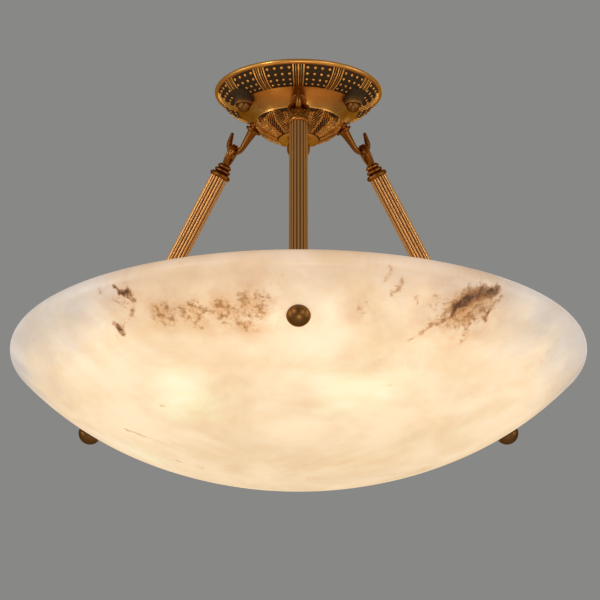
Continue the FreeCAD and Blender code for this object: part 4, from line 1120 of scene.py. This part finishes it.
    def chasing(self, turn: float, share: float, radius: float, run: float) -> float:
        """Height of the chased leaves, from 0 in the ground to 1 on their crests.

        Args:
            turn: angle round the axis, in radians.
            share: way down the boss, from 0 to 1.
            radius: distance from the axis.
            run: way down the boss in millimetres.

        Returns:
            The height.
        """
        if share < self.leaf_top or share > self.leaf_low:
            return 0.9
        height = 0.0
        half = math.pi * radius / self.leaves
        for offset, later in self.leaf_rows:
            across = ((turn / (2 * math.pi) * self.leaves + offset) % 1.0 - 0.5) * 2
            along = share - (self.leaf_top + later)
            if along < 0:
                continue
            frond = (run * 0.75 - abs(across) * half * self.leaf_fill) / self.frond_pitch
            crest = 0.5 + 0.5 * math.cos(2 * math.pi * frond)
            arch = math.sqrt(1 - (1 - min(along / self.leaf_arch, 1.0)) ** 2)
            edge = arch * (self.leaf_fill + 0.06 * crest) - 0.10 * max(along - 0.45, 0.0)
            inner = (edge - abs(across)) * half
            if inner < 0:
                continue
            rim = math.exp(-((inner - self.rim_inset) / self.rim_width) ** 2)
            spine = math.exp(-(across * half / self.spine_width) ** 2)
            leaf = 0.04 + 0.90 * crest ** 1.9
            height = max(leaf, 0.95 * rim, spine) * min(1.0, inner / 0.5 + 0.2)
        return height * min(1.0, (self.leaf_low - share) / 0.04)

    def build_boss(self) -> None:
        """Cast boss, chased with leaves in two rows."""
        arc = self.boss_arc()
        draft = Draft()
        rings: list[list[int]] = []
        length = len(arc) - 1
        run = 0.0
        for i, (radius, height) in enumerate(arc):
            run += math.dist(arc[i], arc[max(i - 1, 0)])
            a, b = arc[max(i - 1, 0)], arc[min(i + 1, length)]
            way = Vector((b[0] - a[0], 0, b[1] - a[1])).normalized()
            out = Vector((-way.z, 0, way.x))
            ring = []
            for j in range(self.boss_turns):
                turn = 2 * math.pi * j / self.boss_turns
                chased = self.chasing(turn, i / length, radius, run)
                place = Vector((radius, 0, height)) + out * (self.chase_depth * chased - self.chase_sink)
                ring.append(draft.point(Matrix.Rotation(turn, 3, "Z") @ place, chased))
            rings.append(ring)
        draft.skin(rings, (Vector((0, 0, arc[0][1])), Vector((0, 0, arc[-1][1]))))
        drawn(draft, "canopy_boss_chased", Body.CEILING.value, CHASED, "canopy_boss", corner=70)

    def build_nuts(self) -> None:
        """Domed cap nuts and the rims of their seats, with painted shade on the seats' flared sides."""
        r, skirt = self.nut_radius, self.nut_skirt
        dome = [(0.0, 0.0), (r - 0.3, 0.0), (r, 0.3), (r, skirt)]
        dome += [(r * math.cos(a), skirt + r * math.sin(a))
                 for a in (math.pi / 2 * i / 14 for i in range(1, 15))]
        seat = [(0.0, -1.6), (r + 0.3, -1.6), (r + 0.6, -0.2), (r + 1.0, 0.2), (r + 1.5, 0.0),
                (r + 1.9, -0.8), (r + 2.1, -2.0), (r + 2.6, -5.0), (r + 3.6, -8.0), (r + 5.5, -11.0),
                (0.0, -11.0)]
        # Painted shade: the relief falls from 0.55 at the seat's rim to 0.05 up the flared side towards the
        # shell, so the side renders dark as if in shadow above the nut.
        relief = [0.1, 0.1, 0.3, 0.55, 0.42, 0.30, 0.22, 0.16, 0.10, 0.05, 0.05]
        for name, angle in self.nut_angles:
            middle = round_axis(angle) @ Vector((self.stud_circle, 0, self.nut_seat))
            at = stood(middle, Vector((0, 0, -1)))
            nut = spun([(x if x > AXIS else 0.0, z) for x, z in dome], 56).placed(at)
            drawn(nut, "cap_nut_" + name, "canopy_nut_" + name, KNOB, "canopy_nut_" + name)
            rim = spun(seat, 56, relief).placed(at)
            drawn(rim, "nut_seat_" + name, Body.CEILING.value, CHASED)


@dataclass
class Hooks:
    """Three hooks under the canopy, each with two collars."""

    root: Point = (43.6, -24.9)
    centre: Point = (63.8, -38.2)
    bend: float = 7.8
    wire: float = 2.5
    shank: float = 4.4
    tip: float = 1.5
    tip_angle: float = 18.0
    tip_length: float = 8.4
    collars: tuple[tuple[float, float], ...] = ((6.0, 2.4), (7.3, 3.0))
    gap: float = 1.0
    neck: float = 4.9

    def path(self) -> tuple[list[Vector], list[float], Vector]:
        """Centre line and radius of the hook, and the shank's direction."""
        dx, dz = self.root[0] - self.centre[0], self.root[1] - self.centre[1]
        first = math.atan2(dz, dx) + math.acos(self.bend / math.hypot(dx, dz))
        last = 2 * math.pi + math.radians(self.tip_angle)

        def bent(a: float) -> Vector:
            """Point of the bend's centre line."""
            return Vector((self.centre[0] + self.bend * math.cos(a), 0,
                           self.centre[1] + self.bend * math.sin(a)))

        root, touch = Vector((self.root[0], 0, self.root[1])), bent(first)
        out = (touch - root).normalized()
        start = root + out * (sum(t for _, t in self.collars) + self.gap)
        points = [start.lerp(touch, i / 10) for i in range(10)]
        radii = [self.shank + (self.wire - self.shank) * (i / 10) ** 0.8 for i in range(10)]
        points += [bent(first + (last - first) * i / 40) for i in range(41)]
        radii += [self.wire] * 41
        way = Vector((-math.sin(last), 0, math.cos(last)))
        for i in range(1, 9):
            points.append(bent(last) + way * (self.tip_length * i / 8))
            radii.append(self.wire + (self.tip - self.wire) * i / 8)
        end = points[-1]
        for i in range(1, 6):
            a = math.pi / 2 * i / 5
            points.append(end + way * (self.tip * math.sin(a)))
            radii.append(max(self.tip * math.cos(a), 0.05))
        return points, radii, out

    def build(self) -> None:
        """Makes the three hooks."""
        points, radii, out = self.path()
        bar = swept(points, radii, 28)
        outline = [(0.0, -1.2), (self.neck, -1.2)]
        z = 0.0
        for radius, thick in self.collars:
            outline += [(self.neck, z)] + moulding(radius, thick, z, 10)
            z += thick + self.gap
        outline += [(self.neck, z - self.gap), (self.neck * 0.92, z - 0.3), (0.0, z - 0.2)]
        collar = spun(outline, 48).placed(stood(Vector((self.root[0], 0, self.root[1])), out))
        for side in Side:
            draft = (bar + collar).placed(round_axis(side.value))
            drawn(draft, "hook_%s_cast" % side.word, Body.CEILING.value, AGED, "hook_" + side.word)


@dataclass
class Arms:
    """Three reeded arms, each with an eye, a ringed cap, a tube and a foot."""

    bowl: AlabasterBowl
    eye_centre: Vector = field(default_factory=lambda: Vector((69.6856, 0, -47.4732)))
    foot_point: Vector = field(default_factory=lambda: Vector((211.2075, 0, -270.4519)))
    eye: float = 8.3
    strand: float = 1.7
    strand_offset: float = 1.1
    neck_half: float = 2.4
    eye_turn: float = 24.0
    cap_start: float = 10.2
    rings: tuple[tuple[float, float], ...] = ((6.4, 3.2), (7.5, 3.2), (9.6, 4.6))
    ring_gap: float = 0.7
    cap_neck: float = 5.2
    foot_height: float = 20.0
    reeds: int = 16
    radius: float = 8.0
    depth: float = 1.15

    def on_arm(self, side: Side, turn: float = 0.0) -> Matrix:
        """Matrix that lays a shape drawn along +Z on one of the arms."""
        way = (self.foot_point - self.eye_centre).normalized()
        tilt = Matrix.Rotation(math.atan2(way.x, way.z), 4, "Y")
        return round_axis(side.value) @ Matrix.Translation(self.eye_centre) @ tilt @ round_axis(turn)

    def eye_draft(self) -> Draft:
        """Two strands side by side, bent into a drop-shaped eye."""
        reach = self.cap_start + 1.0
        spread, lean = math.hypot(self.neck_half, reach), math.atan2(self.neck_half, reach)
        touch = lean + math.acos(self.eye / spread)
        draft = Draft()
        for x in (-self.strand_offset, self.strand_offset):
            arch = [Vector((x, self.eye * math.sin(a), self.eye * math.cos(a)))
                    for a in (touch + (2 * math.pi - 2 * touch) * i / 44 for i in range(45))]
            first, last = Vector((x, self.neck_half, reach)), Vector((x, -self.neck_half, reach))
            legs = [first.lerp(arch[0], i / 5) for i in range(5)]
            back = [arch[-1].lerp(last, i / 5) for i in range(1, 6)]
            path = legs + arch + back
            draft = draft + swept(path, [self.strand] * len(path), 20)
        return draft

    def cap_draft(self) -> tuple[Draft, float]:
        """Ringed cap over the tube's upper end, and where the tube starts."""
        z = self.cap_start
        outline = [(0.0, z), (self.cap_neck - 0.6, z), (self.cap_neck, z + 0.4)]
        for radius, height in self.rings:
            outline += moulding(radius, height, z + self.ring_gap, 10)
            z += height + self.ring_gap
        outline += [(self.radius - 0.4, z), (0.0, z)]
        return spun(outline, 56), z

    def build(self) -> None:
        """Makes the three arms."""
        reeds = reed_recipe()
        eye = self.eye_draft()
        cap, start = self.cap_draft()
        length = (self.foot_point - self.eye_centre).length
        for side in Side:
            turn = {Side.FRONT: 0.0, Side.RIGHT: self.eye_turn, Side.LEFT: -self.eye_turn}[side]
            draft = (eye + cap).placed(self.on_arm(side, turn))
            name = "arm_eye_%s_cast" % side.word
            drawn(draft, name, Body.BOWL.value, AGED, "arm_eye_cap_" + side.word)
            lay = self.on_arm(side)
            mesh = reeds.make(bpy.data.meshes.new("empty"), REEDED, {
                "Start": tuple(lay @ Vector((0, 0, start - 0.2)) * MM),
                "End": tuple(lay @ Vector((0, 0, length - self.foot_height + 0.2)) * MM),
                "Reeds": self.reeds, "Radius": self.radius * MM, "Depth": self.depth * MM, "Steps": 10})
            tie(mesh, "arm_reeds_" + side.word, Body.BOWL.value, REEDED, ["arm_tube_" + side.word], corner=50)
            smoothed("arm_foot_" + side.word, "arm_foot_%s_cast" % side.word, Body.BOWL.value, BRASS)
            smoothed("foot_stud_" + side.word, "foot_stud_%s_dressed" % side.word, Body.BOWL.value, ZINC)
        for node in ("inner_washers", "outer_washers"):
            smoothed(node, node + "_dressed", Body.BOWL.value, WASHER)


@dataclass
class Finials:
    """Three domed nuts outside the bowl."""

    bowl: AlabasterBowl
    radius: float = 10.3
    wall_angle: float = 38.2
    stand_off: float = 1.7

    def build(self) -> None:
        """Makes the three finials."""
        face = self.bowl.wall_point(0.0, self.wall_angle)
        a = math.radians(self.wall_angle)
        out = Vector((math.sin(a), 0, -math.cos(a)))
        low = math.asin(self.stand_off / self.radius)
        outline = [(0.0, self.stand_off), (self.radius * math.cos(low) - 0.5, self.stand_off)]
        outline += [(self.radius * math.cos(t), self.radius * math.sin(t))
                    for t in (low + 0.05 + (math.pi / 2 - low - 0.05) * i / 30 for i in range(30))]
        outline.append((0.0, self.radius))
        for side in Side:
            draft = spun(outline, 72).placed(round_axis(side.value) @ stood(face, out))
            node = "finial_" + side.word
            drawn(draft, node + "_turned", node, KNOB, node)


@dataclass
class Stem:
    """Ball and ring under the boss, stem tube and the lamp cluster."""

    ball: float = 10.3
    ball_centre: float = -55.5
    ball_top: float = -48.0
    neck: float = 6.0
    lamps: int = 6

    def build(self) -> None:
        """Makes the stem and dresses the lamps."""
        top = math.asin((self.ball_top - self.ball_centre) / self.ball)
        low = math.acos(self.neck / self.ball)
        outline = [(0.0, self.ball_top)]
        outline += [(self.ball * math.cos(t), self.ball_centre + self.ball * math.sin(t))
                    for t in (top + (-low - top) * i / 36 for i in range(37))]
        outline.append((0.0, outline[-1][1]))
        drawn(spun(outline, 72), "stem_ball_turned", Body.CEILING.value, BRASS, "stem_ball")
        for node in ("stem_ring", "stem_tube", "cluster_drum", "cluster_lid", "cluster_nut"):
            smoothed(node, node + "_turned", Body.CEILING.value, BRASS)
        for number in range(1, self.lamps + 1):
            body = "lamp_%d" % number
            smoothed("lamp_holder_%d" % number, "holder_%d_glazed" % number, Body.CEILING.value, PORCELAIN)
            smoothed("lamp_cap_%d" % number, "cap_%d_rolled" % number, body, LAMP_METAL)
            smoothed("lamp_glass_%d" % number, "glass_%d_opal" % number, body, GLASS)


# ---- studio -------------------------------------------------------------------------
@dataclass
class SoftBox:
    """One area lamp."""

    place: RGB
    size: tuple[float, float]
    power: float
    colour: RGB = (1.0, 1.0, 1.0)


@dataclass
class Studio:
    """Floor, lamps, grey surroundings and the camera."""

    backdrop: RGB = (0.2462, 0.2462, 0.2384)
    ambient: float = 0.42
    aim: RGB = (0.0, 0.0, -0.2)
    floor_height: float = -1.62
    floor_half: float = 6.0
    sensor: float = 36.0
    focal: float = 226.43
    reach: float = 50.0
    camera_place: RGB = (0.0, -3.106986, -1.29397)
    camera_pitch: float = 0.3392542
    camera_shift: float = 0.0025
    boxes: tuple[SoftBox, ...] = (
        SoftBox((-1.7, -2.1, 0.3), (0.7, 0.7), 14.0, (1.0, 0.95, 0.88)),
        SoftBox((1.6, -2.2, -0.1), (0.6, 0.8), 11.0, (1.0, 0.95, 0.88)),
        SoftBox((-2.2, -0.5, -0.3), (0.6, 1.2), 8.5),
        SoftBox((2.2, -0.5, -0.3), (0.6, 1.2), 7.0),
        SoftBox((0.15, -1.5, -1.45), (0.5, 0.25), 7.0, (1.0, 0.93, 0.84)),
        SoftBox((0.6, 2.0, 0.9), (1.4, 1.4), 4.0),
    )

    def build(self) -> None:
        """Sets the studio up."""
        self.build_world()
        self.build_floor()
        for number, box in enumerate(self.boxes, 1):
            self.hang(box, "softbox_%d" % number)
        self.build_camera()
        bpy.context.scene.view_settings.view_transform = "Standard"

    def build_world(self) -> None:
        """Soft white surroundings that are seen as plain grey."""
        world = bpy.data.worlds.new("studio_air")
        world.use_nodes = True
        world.node_tree.nodes.clear()
        bench = Bench(world.node_tree)
        path = bench.node("ShaderNodeLightPath")
        seen = Value(bench, path.outputs["Is Camera Ray"]).top(Value(bench, path.outputs["Is Glossy Ray"]))
        seen = seen.top(Value(bench, path.outputs["Is Transmission Ray"]))
        light = bench.add("ShaderNodeBackground", feeds={"Color": (1.0, 1.0, 1.0), "Strength": self.ambient})
        grey = bench.add("ShaderNodeBackground", feeds={"Color": self.backdrop, "Strength": 1.0})
        mixed = bench.add("ShaderNodeMixShader", feeds={0: seen, 1: light, 2: grey})
        bench.node("ShaderNodeOutputWorld", feeds={"Surface": mixed})
        bpy.context.scene.world = world

    def build_floor(self) -> None:
        """Plain pale floor."""
        mesh = bpy.data.meshes.new("studio_floor")
        signs = ((-1, -1), (1, -1), (1, 1), (-1, 1))
        places = [(x * self.floor_half, y * self.floor_half, self.floor_height) for x, y in signs]
        mesh.from_pydata(places, [], [(0, 1, 2, 3)])
        mesh.materials.append(PAINT.material())
        floor = bpy.data.objects.new("studio_floor", mesh)
        bpy.context.collection.objects.link(floor)
        floor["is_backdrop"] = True

    def hang(self, box: SoftBox, name: str) -> None:
        """Hangs one area lamp, turned towards the pendant."""
        lamp = bpy.data.lights.new(name, "AREA")
        lamp.shape = "RECTANGLE"
        lamp.size, lamp.size_y = box.size
        lamp.energy = box.power
        lamp.color = box.colour
        holder = bpy.data.objects.new(name, lamp)
        holder.location = box.place
        way = Vector(self.aim) - Vector(box.place)
        holder.rotation_euler = way.to_track_quat("-Z", "Y").to_euler()
        bpy.context.collection.objects.link(holder)

    def build_camera(self) -> None:
        """Camera at the picture's angle."""
        lens = bpy.data.cameras.new("camera")
        lens.sensor_width = self.sensor
        lens.lens = self.focal
        lens.shift_x = self.camera_shift
        lens.clip_end = self.reach
        camera = bpy.data.objects.new("camera", lens)
        camera.location = self.camera_place
        camera.rotation_euler = (math.pi / 2 + self.camera_pitch, 0.0, 0.0)
        bpy.context.collection.objects.link(camera)
        bpy.context.scene.camera = camera


def corners(box: Sequence[Sequence[float]]) -> list[list[float]]:
    """A box as plain lists of numbers."""
    return [[float(v) for v in corner] for corner in box]


def main() -> None:
    """Builds the pendant's sub-assemblies in order, then the studio."""
    logging.basicConfig(level=logging.INFO, format="%(message)s")
    solid_box = corners(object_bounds())
    bowl = AlabasterBowl()
    for part in (Studio(), bowl, Canopy(), Hooks(), Arms(bowl), Finials(bowl), Stem()):
        part.build()
    {"cad": solid_box, "visual": corners(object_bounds())}


if __name__ == "__main__":
    main()
